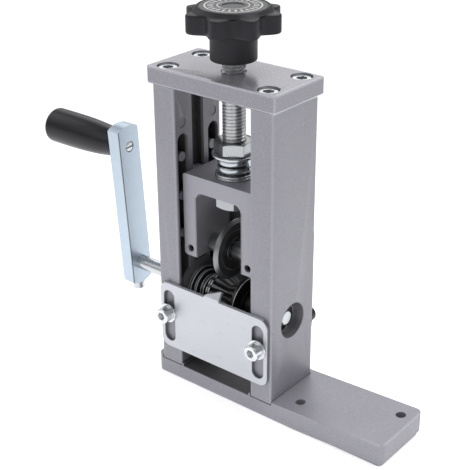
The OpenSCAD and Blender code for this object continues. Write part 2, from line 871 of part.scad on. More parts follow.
// One notch along the right flank of the roller's V groove, above the axis
module roller_notch() {
    half = roller_len/2;
    slope = atan2(vee_depth, half);
    wide = notch_half*(tooth_depth + over)/tooth_depth;
    translate([0, 0, roller_d/2 - vee_depth]) rotate([0, -slope, 0])
        along_x(-tooth_depth*tan(slope), half/cos(slope) + tooth_depth*tan(slope) + over)
        polygon([[0, -tooth_depth], [wide, over], [-wide, over]]);
}

// The feed roller: a V groove that centres the wire, notched along both of its flanks
module feed_roller() {
    half = roller_len/2;
    rim_r = roller_d/2;
    bore_r = shaft_d/2 + fit_gap;
    color([0.16, 0.16, 0.17]) translate([roller_x + half, 0, shaft_z]) difference() {
        turned_x(0) polygon([
            [bore_r, -half], [rim_r, -half], [rim_r - vee_depth, 0], [rim_r, half], [bore_r, half]
        ]);
        for (k = [0:roller_teeth - 1], s = [0, 1])
            rotate([k*360/roller_teeth + tooth_turn, 0, 0]) mirror([s, 0, 0]) roller_notch();
    }
}

module roller_spacer() {
    color([0.16, 0.16, 0.17])
        ring_x(spacer_x, roller_spacer_t, 2*spacer_r, shaft_d + 2*fit_gap, shaft_z);
}

module right_guide_disc() {
    color([0.16, 0.16, 0.17])
        ring_x(right_disc_x, disc_t, right_disc_d, shaft_d + 2*fit_gap, shaft_z);
}

module right_collar() {
    bore_r = shaft_d/2 + fit_gap;
    color([0.16, 0.16, 0.17]) turned_x(shaft_z) polygon([
        [bore_r, spacer_x + roller_spacer_t], [collar_hub_r, spacer_x + roller_spacer_t],
        [collar_hub_r, collar_side], [collar_nose_r, collar_side],
        [collar_nose_r, bearing_in], [bore_r, bearing_in]
    ]);
}

// The yoke seen from the front: two legs under a bar, its upper corners rounded
module yoke_outline() {
    w = yoke_w/2;
    difference() {
        union() {
            round_rect([-w, leg_bottom], [w, yoke_top], yoke_outer_r);
            translate([-w, leg_bottom]) square([yoke_w, (yoke_top - leg_bottom)/2]);
        }
        translate([-leg_in, leg_bottom - over])
            square([2*leg_in, bar_z - yoke_inner_r - leg_bottom + over]);
        round_rect([-leg_in, blade_z], [leg_in, bar_z], yoke_inner_r);
        for (s = [0, 1]) mirror([s, 0]) polygon([
            [w + over, leg_bottom - over], [w + over, leg_bottom + leg_chamfer_z],
            [w, leg_bottom + leg_chamfer_z], [w - leg_chamfer_x, leg_bottom],
            [w - leg_chamfer_x, leg_bottom - over]
        ]);
    }
}

module yoke() {
    color([0.62, 0.61, 0.63]) difference() {
        union() {
            along_y(-yoke_d/2, yoke_d) yoke_outline();
            both_sides() translate([leg_x, -tongue_half, leg_bottom + leg_chamfer_z])
                cube([tongue_tip - leg_x, 2*tongue_half, yoke_top - leg_bottom - leg_chamfer_z
                    - yoke_outer_r]);
        }
        translate([0, 0, bar_z - over])
            cylinder(d = rod_d + 2*run_gap, h = bar_t + 2*over);
        translate([-yoke_w/2 - groove_depth - over, 0, blade_z]) rotate([0, 90, 0])
            cylinder(d = axle_d + 2*fit_gap, h = yoke_w + 2*groove_depth + 2*over);
        for (x = [-leg_x, leg_x]) translate([x, -yoke_d/2 - over, blade_z])
            rotate([-90, 0, 0]) cylinder(d = grub_d + 2*fit_gap, h = yoke_d/2 + over - axle_d/4);
    }
}

module axle_set_screws() {
    color([0.20, 0.20, 0.21]) for (x = [-leg_x, leg_x])
        translate([x, -yoke_d/2 + grub_in, blade_z]) rotate([-90, 0, 0]) difference() {
            cylinder(d = grub_d, h = grub_l);
            translate([0, 0, -over]) cylinder(r = grub_key/sqrt(3), h = grub_l/3 + over, $fn = 6);
        }
}

module blade_axle() {
    half = yoke_w/2 - axle_inset;
    c = axle_chamfer;
    r = axle_d/2;
    color([0.80, 0.81, 0.83]) turned_x(blade_z) polygon([
        [0, -half], [r - c, -half], [r, c - half],
        [r, half - c], [r - c, half], [0, half]
    ]);
}

module axle_spacers() {
    reach = leg_in - blade_t/2 - side_gap;
    bore_d = axle_d + 2*fit_gap;
    color([0.70, 0.71, 0.73]) {
        ring_x(side_gap/2 - leg_in, reach - blade_left, sleeve_od, bore_d, blade_z);
        ring_x(leg_in - side_gap/2 - reach - blade_left, reach + blade_left, sleeve_od, bore_d, blade_z);
    }
}

// The blade's half section: a sunk bore, a hub, a relieved web, a land and a bevel on each side
module cutting_blade() {
    r = blade_d/2;
    h = blade_t/2;
    w = h - blade_relief;
    e = blade_edge_t/2;
    v = h - blade_well;
    bore_r = axle_d/2 + run_gap;
    color([0.22, 0.22, 0.23]) translate([blade_x, 0, 0]) turned_x(blade_z) polygon([
        [bore_r, -v], [blade_well_r, -v], [blade_well_r, -h], [blade_hub_r, -h],
        [blade_hub_r, -w], [blade_ring_r, -w], [blade_ring_r, -h], [r - blade_bevel, -h],
        [r, -e], [r, e], [r - blade_bevel, h], [blade_ring_r, h], [blade_ring_r, w],
        [blade_hub_r, w], [blade_hub_r, h], [blade_well_r, h], [blade_well_r, v], [bore_r, v]
    ]);
}

module adjusting_screw() {
    r = rod_d/2;
    c = rod_chamfer;
    color([0.84, 0.85, 0.87]) rotate_extrude() polygon([
        [0, rod_bottom], [r - c, rod_bottom], [r, rod_bottom + c],
        [r, rod_top - c], [r - c, rod_top], [0, rod_top]
    ]);
}

module upper_nut() {
    color([0.82, 0.83, 0.86]) translate([0, 0, upper_nut_z]) rotate(upper_nut_angle)
        hex_nut(upper_nut_h);
}

module lower_nut() {
    color([0.82, 0.83, 0.86]) translate([0, 0, lower_nut_z]) rotate(lower_nut_angle)
        hex_nut(lower_nut_h);
}

module flat_washer() {
    color([0.82, 0.83, 0.86]) ring_z(flat_z, flat_washer_t, flat_washer_d, washer_bore_d);
}

// Two split spring washers, one above the other, their slits set apart
module spring_washers() {
    color([0.80, 0.81, 0.84]) for (k = [0, 1])
        rotate([0, 0, spring_slit_angles[k]]) difference() {
            ring_z(spring_z + k*spring_washer_t, spring_washer_t, spring_washer_d, washer_bore_d);
            translate([spring_washer_d/2, 0, spring_z + (k + 0.5)*spring_washer_t])
                rotate([spring_slit_tilt, 0, 0])
                cube([spring_washer_d, spring_slit, 3*spring_washer_t], center = true);
        }
}

module thrust_rings() {
    color([0.80, 0.81, 0.84]) {
        ring_z(thrust_z, thrust_t, thrust_d, washer_bore_d);
        ring_z(thrust_z + thrust_t, upper_thrust_t, upper_thrust_d, washer_bore_d);
    }
}

// The knob's outline: lobes and hollows that follow a cosine
module knob_outline() {
    n = knob_lobes*lobe_points;
    mid = (knob_d + knob_hollow_d)/4;
    swing = (knob_d - knob_hollow_d)/4;
    polygon([for (k = [0:n - 1])
        let (a = k*360/n, c = cos(knob_lobes*(a + 180/knob_lobes)), r = mid + swing*c)
        [r*sin(a), -r*cos(a)]]);
}

module star_knob() {
    lobe_r = knob_d/2;
    hub_r = hub_d/2;
    color([0.11, 0.11, 0.12]) rotate(knob_angle) difference() {
        union() {
            intersection() {
                translate([0, 0, grip_z]) linear_extrude(grip_h + crown_h) knob_outline();
                rotate_extrude() polygon([
                    [0, grip_z], [lobe_r - knob_edge, grip_z], [lobe_r, grip_z + knob_edge],
                    [lobe_r, crown_z - knob_edge], [lobe_r - knob_edge, crown_z],
                    [crown_foot_r, crown_z + crown_foot_h],
                    [crown_flat_r, crown_z + crown_h], [0, crown_z + crown_h]
                ]);
            }
            rotate_extrude() polygon([
                [0, hub_z], [hub_r - hub_chamfer, hub_z], [hub_r, hub_z + hub_chamfer],
                [hub_r, grip_z - hub_fillet], [hub_r + hub_fillet, grip_z], [0, grip_z + over]
            ]);
        }
        translate([0, 0, hub_z - over])
            cylinder(d = rod_d + 2*fit_gap, h = rod_top - hub_z + over + fit_gap);
        translate([0, 0, crown_z + crown_h - cap_t])
            cylinder(d = cap_d + 2*fit_gap, h = cap_t + over);
    }
}

module knob_cap() {
    z = crown_z + crown_h - cap_t;
    color([0.20, 0.20, 0.21]) difference() {
        translate([0, 0, z]) cylinder(d = cap_d, h = cap_t - cap_lip);
        translate([0, 0, z + cap_t/2]) cylinder(r = cap_dimple_r, h = cap_t);
    }
}

// Places a shape drawn about the shaft's axis on the leaning crank
module crank_frame() {
    translate([0, 0, shaft_z]) rotate(crank_turn) children();
}

// The arm in side view: a bar whose two ends are shallow arches
module arm_outline() {
    h = crank_w/2;
    arch_r = (h*h + crank_arch*crank_arch)/(2*crank_arch);
    top = crank_throw + crank_top_l;
    intersection() {
        translate([-h, -crank_foot_l - crank_arch])
            square([crank_w, top + crank_foot_l + 2*crank_arch]);
        union() {
            translate([-h, -crank_foot_l]) square([crank_w, top + crank_foot_l]);
            translate([0, top + crank_arch - arch_r]) circle(r = arch_r);
            translate([0, arch_r - crank_foot_l - crank_arch]) circle(r = arch_r);
        }
    }
}

module crank_arm() {
    color([0.78, 0.83, 0.88]) crank_frame() difference() {
        along_x(arm_out, crank_t) difference() {
            arm_outline();
            circle(d = shaft_d + 2*fit_gap);
            translate([0, crank_throw]) circle(d = m6[0] + 2*fit_gap);
        }
        translate([(arm_in + arm_out)/2, 0, -crank_foot_l - crank_arch - over])
            cylinder(d = m4[0] + 2*fit_gap, h = crank_foot_l + crank_arch + over);
    }
}

module crank_clamp_washer() {
    color([0.72, 0.74, 0.78]) crank_frame()
        translate([(arm_in + arm_out)/2, 0, -crank_foot_l - crank_arch - clamp_washer_t])
        difference() {
            cylinder(d = clamp_washer_d, h = clamp_washer_t);
            translate([0, 0, -over])
                cylinder(d = m4[0] + 2*run_gap, h = clamp_washer_t + 2*over);
        }
}

module crank_clamp_screw() {
    color([0.80, 0.79, 0.80]) crank_frame()
        translate([(arm_in + arm_out)/2, 0, -crank_foot_l - crank_arch - clamp_washer_t])
        rotate([180, 0, 0]) cap_screw(m4, clamp_screw_l);
}

// The handle's bolt: head in the handle's free end, slotted tip flush with the arm
module handle_bolt() {
    head_x = arm_out - handle_gap - handle_l + handle_well;
    c = tip_chamfer;
    r = m6[0]/2;
    color([0.78, 0.80, 0.84]) crank_frame() translate([0, 0, crank_throw]) difference() {
        turned_x(0) polygon([
            [0, head_x - bolt_head_h], [m6[1]/2 - c, head_x - bolt_head_h],
            [m6[1]/2, head_x - bolt_head_h + c], [m6[1]/2, head_x - slide_gap],
            [r, head_x - slide_gap],
            [r, arm_in - c], [r - c, arm_in], [0, arm_in]
        ]);
        translate([arm_in - bolt_slot_h, -m6[0], -bolt_slot_w/2])
            cube([bolt_slot_h + over, 2*m6[0], bolt_slot_w]);
        translate([head_x - bolt_head_h - over, 0, 0]) rotate([0, 90, 0])
            cylinder(r = m6[3]/sqrt(3), h = bolt_head_h/2 + over, $fn = 6);
    }
}

module crank_handle() {
    right = arm_out - handle_gap;
    left = right - handle_l;
    r = handle_d/2;
    f = handle_round;
    arc_steps = 6;
    color([0.10, 0.10, 0.11]) crank_frame() translate([0, 0, crank_throw]) turned_x(0) polygon(concat(
        [[handle_bore_d/2, left + handle_well], [handle_well_d/2, left + handle_well],
            [handle_well_d/2, left]],
        [for (k = [0:arc_steps]) let (a = 90*k/arc_steps)
            [r - f + f*sin(a), left + f - f*cos(a)]],
        [[handle_belly_d/2, right - handle_l*handle_belly_share],
            [handle_waist_d/2, right - handle_l*handle_waist_share],
            [handle_neck_d/2, right], [handle_bore_d/2, right]]
    ));
}

base_plate();
base_screws();
left_upright();
right_upright();
top_plate();
top_plate_screws();
rear_inlet_plate();
rear_plate_washers();
rear_plate_screws();
front_guide_plate();
front_plate_washers();
front_plate_screws();
bearing_outer_rings();
bearing_inner_rings();
bearing_balls();
retaining_rings();
drive_shaft();
left_collar();
left_guide_disc();
feed_roller();
roller_spacer();
right_guide_disc();
right_collar();
yoke();
axle_set_screws();
blade_axle();
axle_spacers();
cutting_blade();
adjusting_screw();
upper_nut();
lower_nut();
flat_washer();
spring_washers();
thrust_rings();
star_knob();
knob_cap();
crank_arm();
crank_clamp_washer();
crank_clamp_screw();
handle_bolt();
crank_handle();
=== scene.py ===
# %% [markdown]
# Dressing a hand crank wire stripper.
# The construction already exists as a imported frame: every casting, screw and roller at its real size,
# grouped into the bodies that move together. This notebook gives each piece its finish, and remakes the
# few pieces whose looks need more than plain solids: the thread, the washers, the moulded knob, the turned
# handle, the blade and the feed roller. Units are metres, +X runs along the bench foot and -Y faces the
# operator.

# %% Load the frame
import json
import math

import bmesh
import bpy
import numpy as np
from mathutils import Matrix, Vector


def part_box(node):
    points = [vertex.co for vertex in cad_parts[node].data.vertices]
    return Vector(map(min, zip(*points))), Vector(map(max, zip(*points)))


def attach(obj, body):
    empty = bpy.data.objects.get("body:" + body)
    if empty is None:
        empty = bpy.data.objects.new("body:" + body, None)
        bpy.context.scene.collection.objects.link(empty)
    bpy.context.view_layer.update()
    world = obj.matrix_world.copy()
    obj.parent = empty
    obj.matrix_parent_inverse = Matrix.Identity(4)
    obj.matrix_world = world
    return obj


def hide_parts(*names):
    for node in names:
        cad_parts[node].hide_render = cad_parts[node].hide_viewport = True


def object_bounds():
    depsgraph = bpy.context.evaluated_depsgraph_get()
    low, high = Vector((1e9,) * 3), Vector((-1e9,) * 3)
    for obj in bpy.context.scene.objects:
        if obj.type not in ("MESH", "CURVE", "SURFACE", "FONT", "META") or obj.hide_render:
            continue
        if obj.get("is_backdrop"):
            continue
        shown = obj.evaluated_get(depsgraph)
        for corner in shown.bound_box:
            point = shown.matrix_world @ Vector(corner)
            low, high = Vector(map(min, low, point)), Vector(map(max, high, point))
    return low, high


MM = 0.001
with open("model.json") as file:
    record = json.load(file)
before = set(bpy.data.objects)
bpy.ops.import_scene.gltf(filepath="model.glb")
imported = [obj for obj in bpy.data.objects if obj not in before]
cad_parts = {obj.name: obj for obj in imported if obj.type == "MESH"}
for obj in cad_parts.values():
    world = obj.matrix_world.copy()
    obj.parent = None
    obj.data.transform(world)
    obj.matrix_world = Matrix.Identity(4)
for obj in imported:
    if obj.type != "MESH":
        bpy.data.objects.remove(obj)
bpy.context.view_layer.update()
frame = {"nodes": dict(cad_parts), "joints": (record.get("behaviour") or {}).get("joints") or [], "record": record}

# %% [markdown]
# The camera comes first, because every later choice is judged through it. The photograph was taken from the
# right of the tool's front and from above, with a long lens, so that upright edges stay almost parallel. A
# camera's matrix has its right, up and back directions as columns.

# %% The camera
# Angles are in radians and the place in metres
AZIMUTH = 0.6872
ELEVATION = 0.4495
ROLL = -0.0074
CAMERA_AT = Vector((0.31815, -0.38770, 0.33040))
FOCAL_PIXELS = 1079.65
IMAGE_PIXELS = 470
SENSOR_MM = 36.0


def camera_matrix(azimuth, elevation, roll, place):
    """Right, up and back of a camera that looks down by elevation, turned by roll about its view."""
    back = Vector((math.sin(azimuth) * math.cos(elevation),
                   -math.cos(azimuth) * math.cos(elevation), math.sin(elevation)))
    right = (-back).cross(Vector((0, 0, 1))).normalized()
    up = right.cross(-back)
    rolled_right = right * math.cos(roll) + up * math.sin(roll)
    rolled_up = up * math.cos(roll) - right * math.sin(roll)
    turned = Matrix((rolled_right, rolled_up, back)).transposed().to_4x4()
    return Matrix.Translation(place) @ turned


lens = bpy.data.cameras.new("camera")
lens.sensor_width = SENSOR_MM
lens.lens = FOCAL_PIXELS * SENSOR_MM / IMAGE_PIXELS
lens.clip_start = 0.01
camera = bpy.data.objects.new("camera", lens)
camera.matrix_world = camera_matrix(AZIMUTH, ELEVATION, ROLL, CAMERA_AT)
bpy.context.scene.collection.objects.link(camera)
bpy.context.scene.camera = camera
print("lens", round(lens.lens, 1), "mm")

# %% [markdown]
# A studio packshot stands on a white acrylic table lit from below as well, with softboxes round it, in a
# room that is dimmer than both. So the world is a dim grey, the floor is white and glows a little, and
# broad suns stand for the softboxes: a sun lights the whole floor evenly, and a wide angle makes its
# shadows soft. Metal then shows the white table in its lower half and the dim room in its upper half, which
# is what makes it look like metal, and the table's own glow keeps the shadows on it faint. The glow fades
# away from the tool, as a lit table's does, so that polished faces don't mirror an endless white plane.

# %% Floor and light
FLOOR_SIZE = 60.0
FLOOR_COLOUR = (0.96, 0.96, 0.965, 1)
ROOM_COLOUR = (0.96, 0.975, 1.0, 1)
ROOM_STRENGTH = 0.24
TABLE_GLOW = 0.55
GLOW_NEAR = 0.15
GLOW_FAR = 0.45
GLOW_LEFT = 0.25
# Each sun's name, azimuth, elevation, power and width, with the angles in degrees
SUNS = [("high_box", 160, 66, 1.55, 50), ("right_box", 80, 30, 0.36, 50),
        ("front_box", -20, 38, 0.55, 50), ("back_box", 215, 32, 0.55, 40),
        ("left_box", 275, 30, 0.55, 40)]


def stage_floor():
    """A pale square far larger than the view, at the height of the bench, which glows near its middle."""
    half = FLOOR_SIZE / 2
    mesh = bpy.data.meshes.new("floor")
    mesh.from_pydata([(-half, -half, 0), (half, -half, 0), (half, half, 0), (-half, half, 0)], [],
                     [(0, 1, 2, 3)])
    floor = bpy.data.objects.new("floor", mesh)
    paint = bpy.data.materials.new("floor_paint")
    paint.use_nodes = True
    tree = paint.node_tree
    shader = tree.nodes["Principled BSDF"]
    for key, value in (("Base Color", FLOOR_COLOUR), ("Roughness", 0.95), ("Specular IOR Level", 0.1),
                       ("Emission Strength", TABLE_GLOW)):
        shader.inputs[key].default_value = value
    place = tree.nodes.new("ShaderNodeTexCoord")
    away = tree.nodes.new("ShaderNodeVectorMath")
    away.operation = "LENGTH"
    fade = tree.nodes.new("ShaderNodeMapRange")
    for key, value in (("From Min", GLOW_NEAR), ("From Max", GLOW_FAR), ("To Min", 1), ("To Max", GLOW_LEFT)):
        fade.inputs[key].default_value = value
    tree.links.new(place.outputs["Object"], away.inputs[0])
    tree.links.new(away.outputs["Value"], fade.inputs["Value"])
    tree.links.new(fade.outputs[0], shader.inputs["Emission Color"])
    mesh.materials.append(paint)
    bpy.context.scene.collection.objects.link(floor)
    floor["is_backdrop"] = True


def soft_sun(name, azimuth, elevation, power, width):
    """A sun seen at that azimuth (0 at the operator, growing towards +X) and elevation, width across."""
    data = bpy.data.lights.new(name, "SUN")
    data.energy = power
    data.angle = math.radians(width)
    sun = bpy.data.objects.new(name, data)
    a, e = math.radians(azimuth), math.radians(elevation)
    towards = Vector((math.sin(a) * math.cos(e), -math.cos(a) * math.cos(e), math.sin(e)))
    sun.rotation_mode = "QUATERNION"
    sun.rotation_quaternion = (-towards).to_track_quat("-Z", "Y")
    bpy.context.scene.collection.objects.link(sun)


stage_floor()
for sun in SUNS:
    soft_sun(*sun)
world = bpy.data.worlds.new("studio")
world.use_nodes = True
background = world.node_tree.nodes["Background"]
background.inputs["Color"].default_value = ROOM_COLOUR
background.inputs["Strength"].default_value = ROOM_STRENGTH
bpy.context.scene.world = world
bpy.context.scene.view_settings.view_transform = "Standard"
print("lit by", len(SUNS), "suns and a glowing table")

# %% [markdown]
# Shader maths reads best as ordinary arithmetic. `Value` wraps a socket and overloads the operators, so that
# `1 - mask * 0.5` adds the Math nodes by itself. `Finish` is one material with one method that adds any
# other node. Whatever varies over the surface feeds only colour, roughness, metallic or bump. Plain numbers
# stay numbers, so a constant costs no node.


# %% Shader arithmetic
class Value:
    """A number socket that can be added, multiplied and compared; each operation adds a Math node."""

    def __init__(self, tree, socket):
        self.tree = tree
        self.socket = socket

    def _join(self, operation, *terms):
        made = self.tree.nodes.new("ShaderNodeMath")
        made.operation = operation
        for entry, given in zip(made.inputs, terms):
            if isinstance(given, Value):
                self.tree.links.new(given.socket, entry)
            else:
                entry.default_value = given
        return Value(self.tree, made.outputs[0])

    def _math(self, operation, *others):
        return self._join(operation, self, *others)

    def __add__(self, other):
        return self._math("ADD", other)

    __radd__ = __add__

    def __sub__(self, other):
        return self._math("SUBTRACT", other)

    def __rsub__(self, other):
        return self._join("SUBTRACT", other, self)

    def __mul__(self, other):
        return self._math("MULTIPLY", other)

    __rmul__ = __mul__

    def root(self):
        return self._math("SQRT")

    def absolute(self):
        return self._math("ABSOLUTE")

    def least(self, other):
        return self._math("MINIMUM", other)

    def most(self, other):
        return self._math("MAXIMUM", other)

    def above(self, limit):
        return self._math("GREATER_THAN", limit)

    def below(self, limit):
        return self._math("LESS_THAN", limit)

    def ping_pong(self, scale):
        return self._math("PINGPONG", scale)

    def angle_to(self, other):
        return self._math("ARCTAN2", other)

    def rise(self, low, high):
        """0 below low, 1 above high, and a straight ramp between."""
        made = self.tree.nodes.new("ShaderNodeMapRange")
        made.inputs["From Min"].default_value = low
        made.inputs["From Max"].default_value = high
        self.tree.links.new(self.socket, made.inputs["Value"])
        return Value(self.tree, made.outputs[0])


class Finish:
    """One material on Object coordinates, built node by node."""

    def __init__(self, name):
        self.material = bpy.data.materials.new(name)
        self.material.use_nodes = True
        self.tree = self.material.node_tree
        self.shader = self.tree.nodes["Principled BSDF"]
        self.place = self.node("ShaderNodeTexCoord").outputs["Object"]

    def node(self, kind, settings=None, inputs=None):
        """Adds a node of that kind, with its settings first and then its sockets' values or links."""
        made = self.tree.nodes.new(kind)
        for key, value in (settings or {}).items():
            setattr(made, key, value)
        for key, value in (inputs or {}).items():
            self.feed(made.inputs[key], value)
        return made

    def feed(self, entry, value):
        """Links a Value or an output socket to an entry, or sets a plain number or colour on it."""
        if isinstance(value, Value):
            self.tree.links.new(value.socket, entry)
        elif isinstance(value, bpy.types.NodeSocket):
            self.tree.links.new(value, entry)
        else:
            entry.default_value = value

    def noise(self, size, detail=2.0, stretch=(1, 1, 1), roughness=0.5):
        """Noise whose blobs are about size metres across, drawn out along the axes with a small stretch."""
        scaled = self.node("ShaderNodeMapping", None, {"Vector": self.place, "Scale": stretch})
        made = self.node("ShaderNodeTexNoise", None, {"Vector": scaled.outputs[0], "Scale": 1 / size,
                                                      "Detail": detail, "Roughness": roughness})
        return Value(self.tree, made.outputs["Fac"])

    def axes(self):
        """The three coordinates of the surface point as values, in metres."""
        made = self.node("ShaderNodeSeparateXYZ", None, {0: self.place})
        return [Value(self.tree, made.outputs[i]) for i in range(3)]

    def blend(self, factor, first, second):
        """first where factor is 0, second where it is 1; both are colours."""
        made = self.node("ShaderNodeMix", {"data_type": "RGBA"})
        for index, value in ((0, factor), (6, first), (7, second)):
            self.feed(made.inputs[index], value)
        return made.outputs[2]

    def bump(self, height, distance, strength=1.0):
        """Turns a height from 0 to 1 into a relief of that distance in metres."""
        made = self.node("ShaderNodeBump", None, {"Height": height, "Distance": distance,
                                                  "Strength": strength})
        self.feed(self.shader.inputs["Normal"], made.outputs[0])

    def set(self, **sockets):
        """Sets sockets of the shader by name, with _ for a space."""
        for key, value in sockets.items():
            self.feed(self.shader.inputs[key.replace("_", " ")], value)
        return self


def grey(level, warmth=0.0):
    """A colour near grey; warmth above 0 leans to red and below 0 to blue."""
    return (level * (1 + warmth), level, level * (1 - warmth), 1)


print("noises are laid on Object coordinates, in metres")

# %% [markdown]
# The castings wear a satin grey coat whose sparkle comes from metal flakes. From arm's length it is an even
# grey; close up it has a fine sandy relief. Noises of several sizes do it: blobs just under a millimetre
# wide for the sand, slow patches a few centimetres wide that keep a large flat face from looking printed,
# fine flakes that sparkle and a few small chips. The coat is thin and pale along the outer edges, and the
# edges catch light, so a mask follows the edges of the solid's box and paints them paler: partly wear and
# partly a painted highlight.


# %% Coated castings
LIT_WORN_EDGE_WIDTH = 1.3 * MM
SAND = 0.9 * MM
PATCH = 30 * MM
CHIP = 3.5 * MM
CAST_RELIEF = 0.12 * MM


def tinted(level):
    """The coat's grey, which leans to violet."""
    return (level, level * 0.985, level * 1.10, 1)


def edge_mask(finish, low, high, width):
    """1 on the edges of the box from low to high and 0 a width away from them, for points on its faces."""
    near = []
    for place, lowest, highest in zip(finish.axes(), low, high):
        inside = (place - lowest).least(highest - place)
        near.append(1 - inside.rise(0, width))
    return (near[0] * near[1]).most(near[1] * near[2]).most(near[0] * near[2])


def coated_casting(name, level, box=None, sand=SAND, dark=None, gloss=0.36, bevel=0.0, calm=0.0):
    """Satin grey coat; box gives the corners for edges that are worn and carry a painted highlight, and bevel
    the height of a lower bevel with a painted highlight, brightest at the right end; dark is a function that
    masks painted shade in hollows and seams, and calm (0 to 1) quiets the sparkle of a rubbed face and
    brightens its edges."""
    finish = Finish(name)
    grain = finish.noise(sand, detail=3.0, roughness=0.7)
    patches = finish.noise(PATCH, detail=1.0)
    flakes = finish.noise(sand / 3, detail=0.0).rise(0.62, 0.72)
    chips = finish.noise(CHIP, detail=1.0).rise(0.795, 0.81)
    tone = grain * 0.8 + patches * 0.2
    colour = finish.blend(tone, tinted(level * 0.66), tinted(level * 1.34))
    colour = finish.blend(flakes * (0.3 - calm * 0.2), colour, tinted(level * 1.6))
    colour = finish.blend(chips * (0.5 - calm * 0.5), colour, tinted(level * 1.9))
    if box is not None:
        x, y, z = finish.axes()
        # Painted highlight on a lower bevel, brightest near the right end.
        lower = z.below(box[0].z + bevel) * (0.3 + x.above(box[1].x - 3 * MM) * 0.7)
        # Paler edges: partly wear, partly a painted highlight.
        wear_and_highlight = (edge_mask(finish, *box, LIT_WORN_EDGE_WIDTH) + lower) * (0.6 + grain * 0.5)
        colour = finish.blend(wear_and_highlight * 0.9, colour, tinted(level * (1.55 + calm * 0.6)))
    roughness = grain * 0.16 + gloss
    # Painted shade in hollows and seams, with a slow mottle.
    if dark is not None:
        mask, shade = dark(finish)
        shade_mottle = finish.noise(6 * MM, detail=3.0)
        colour = finish.blend(mask, colour, finish.blend(shade_mottle, grey(shade * 0.6), grey(shade * 1.5)))
        roughness = roughness + mask * 0.1
    finish.set(Base_Color=colour, Roughness=roughness, Metallic=0.3)
    finish.bump(grain, CAST_RELIEF, 0.5 - calm * 0.3)
    return finish.material


print("coat's relief", round(CAST_RELIEF / MM, 2), "mm")

# %% [markdown]
# Painted shade darkens the castings where little light reaches: in the sliding groove, in the pockets behind
# it, round the bearings and along the seams between castings, with a slow mottle. It could be painted by
# hand, but a mask worked out from places needs no image and follows the solids when a size changes. Each
# mask comes with the shade's level.

# %% Painted shade in hollows and seams
RECESS_FROM = 0.7 * MM
RECESS_FULL = 2.2 * MM
RECESS_TO = 7.3 * MM
BEARING_HOLE_R = 9.8 * MM
LEG_DEPTH = 12.7 * MM
TOP_SEAM = 0.45 * MM
FOOT_SEAM = 0.75 * MM


def distance_from_axis(finish, axis_z):
    """How far the surface point lies from the line along X at y = 0 and that height."""
    x, y, z = finish.axes()
    rise = z - axis_z
    return (y * y + rise * rise).root()


def upright_recesses(finish):
    """Painted shade: the groove and the pockets are black, the inner face and the bearing hole are darkened,
    and the seams at both ends are dark."""
    x, y, z = finish.axes()
    across = x.absolute()
    behind_face = across.rise(INNER_X + RECESS_FROM, INNER_X + RECESS_FULL)
    deep = behind_face * across.below(INNER_X + RECESS_TO) * 0.92
    face = across.below(INNER_X + RECESS_FROM) * 0.45
    within = y.absolute().below(-body_low.y - LIT_WORN_EDGE_WIDTH)
    seam = z.above(body_high.z - TOP_SEAM) * 0.75
    foot = z.below(body_low.z + FOOT_SEAM) * (y.below(body_low.y + 1 * MM) * 0.5 + 0.4)
    hole = distance_from_axis(finish, SHAFT_Z).below(BEARING_HOLE_R)
    bore = hole * across.above(INNER_X + RECESS_TO) * 0.35
    return (deep.most(face) * within).most(seam).most(foot).most(bore), 0.035


def base_recess(finish):
    """Painted shade on the base's seat between the two uprights."""
    x, y, z = finish.axes()
    between = x.absolute().below(INNER_X + 0.1 * MM) * y.absolute().below(-body_low.y - 0.6 * MM)
    return between * z.below(body_low.z + 2.5 * MM) * z.above(2 * MM) * 0.75, 0.06


def yoke_inside(finish):
    """Painted shade on the inner sides of the yoke's legs; its top face is a little darker too."""
    x, y, z = finish.axes()
    legs = x.absolute().below(yoke_high.x - LEG_DEPTH) * z.below(yoke_high.z - 12 * MM)
    return (legs * 0.35).most(z.above(yoke_high.z - 0.3 * MM) * 0.25), 0.05


print("recess from", round(RECESS_FROM / MM, 2), "to", round(RECESS_TO / MM, 2), "mm")

# %% [markdown]
# Each casting gets a coat of its own, because its worn, highlighted edges follow its own box. The top plate
# is rubbed smooth by hands, so its coat is glossier and quieter and shows a soft image of the knob, and its
# lower bevel carries a painted highlight, brightest at the right end. The yoke is a little paler, and its
# edges get no wear or highlight.

# %% The castings' coats
CAST_LEVEL = 0.30
shaft_low, shaft_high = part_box("drive_shaft")
SHAFT_Z = (shaft_low.z + shaft_high.z) / 2
yoke_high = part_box("yoke")[1]
body_low, body_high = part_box("right_upright")
INNER_X = body_low.x
left_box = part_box("left_upright")
base_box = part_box("base_plate")
top_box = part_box("top_plate")
# The dark masks paint shade into the hollows and seams.
UPRIGHT_GREY = coated_casting("upright_grey", CAST_LEVEL, (body_low, body_high), dark=upright_recesses)
LEFT_UPRIGHT_GREY = coated_casting("left_upright_grey", CAST_LEVEL, left_box, dark=upright_recesses)
BASE_GREY = coated_casting("base_grey", CAST_LEVEL, base_box, dark=base_recess)
TOP_GREY = coated_casting("top_grey", CAST_LEVEL * 0.97, top_box, gloss=0.17, bevel=1.1 * MM, calm=1.0)
YOKE_GREY = coated_casting("yoke_grey", CAST_LEVEL * 1.15, sand=0.7 * MM, dark=yoke_inside)
print("castings' grey", CAST_LEVEL)

# %% [markdown]
# Bright metal has hardly any colour of its own: it shows the room, blurred by how it was finished. The
# plates were brushed along their length, so their noise is drawn out some eighty times along X. Zinc plate
# is blotchy rather than streaked, and the crank arm's is cloudy and a little blue. A polished mirror with a
# clean edge looks like plastic, so each recipe varies its roughness with the same noise as its colour.


# %% Bright metals
PLATE_T = 1.9 * MM
SKIN = 0.35 * MM
DARK_MARK_LEVEL = 0.10


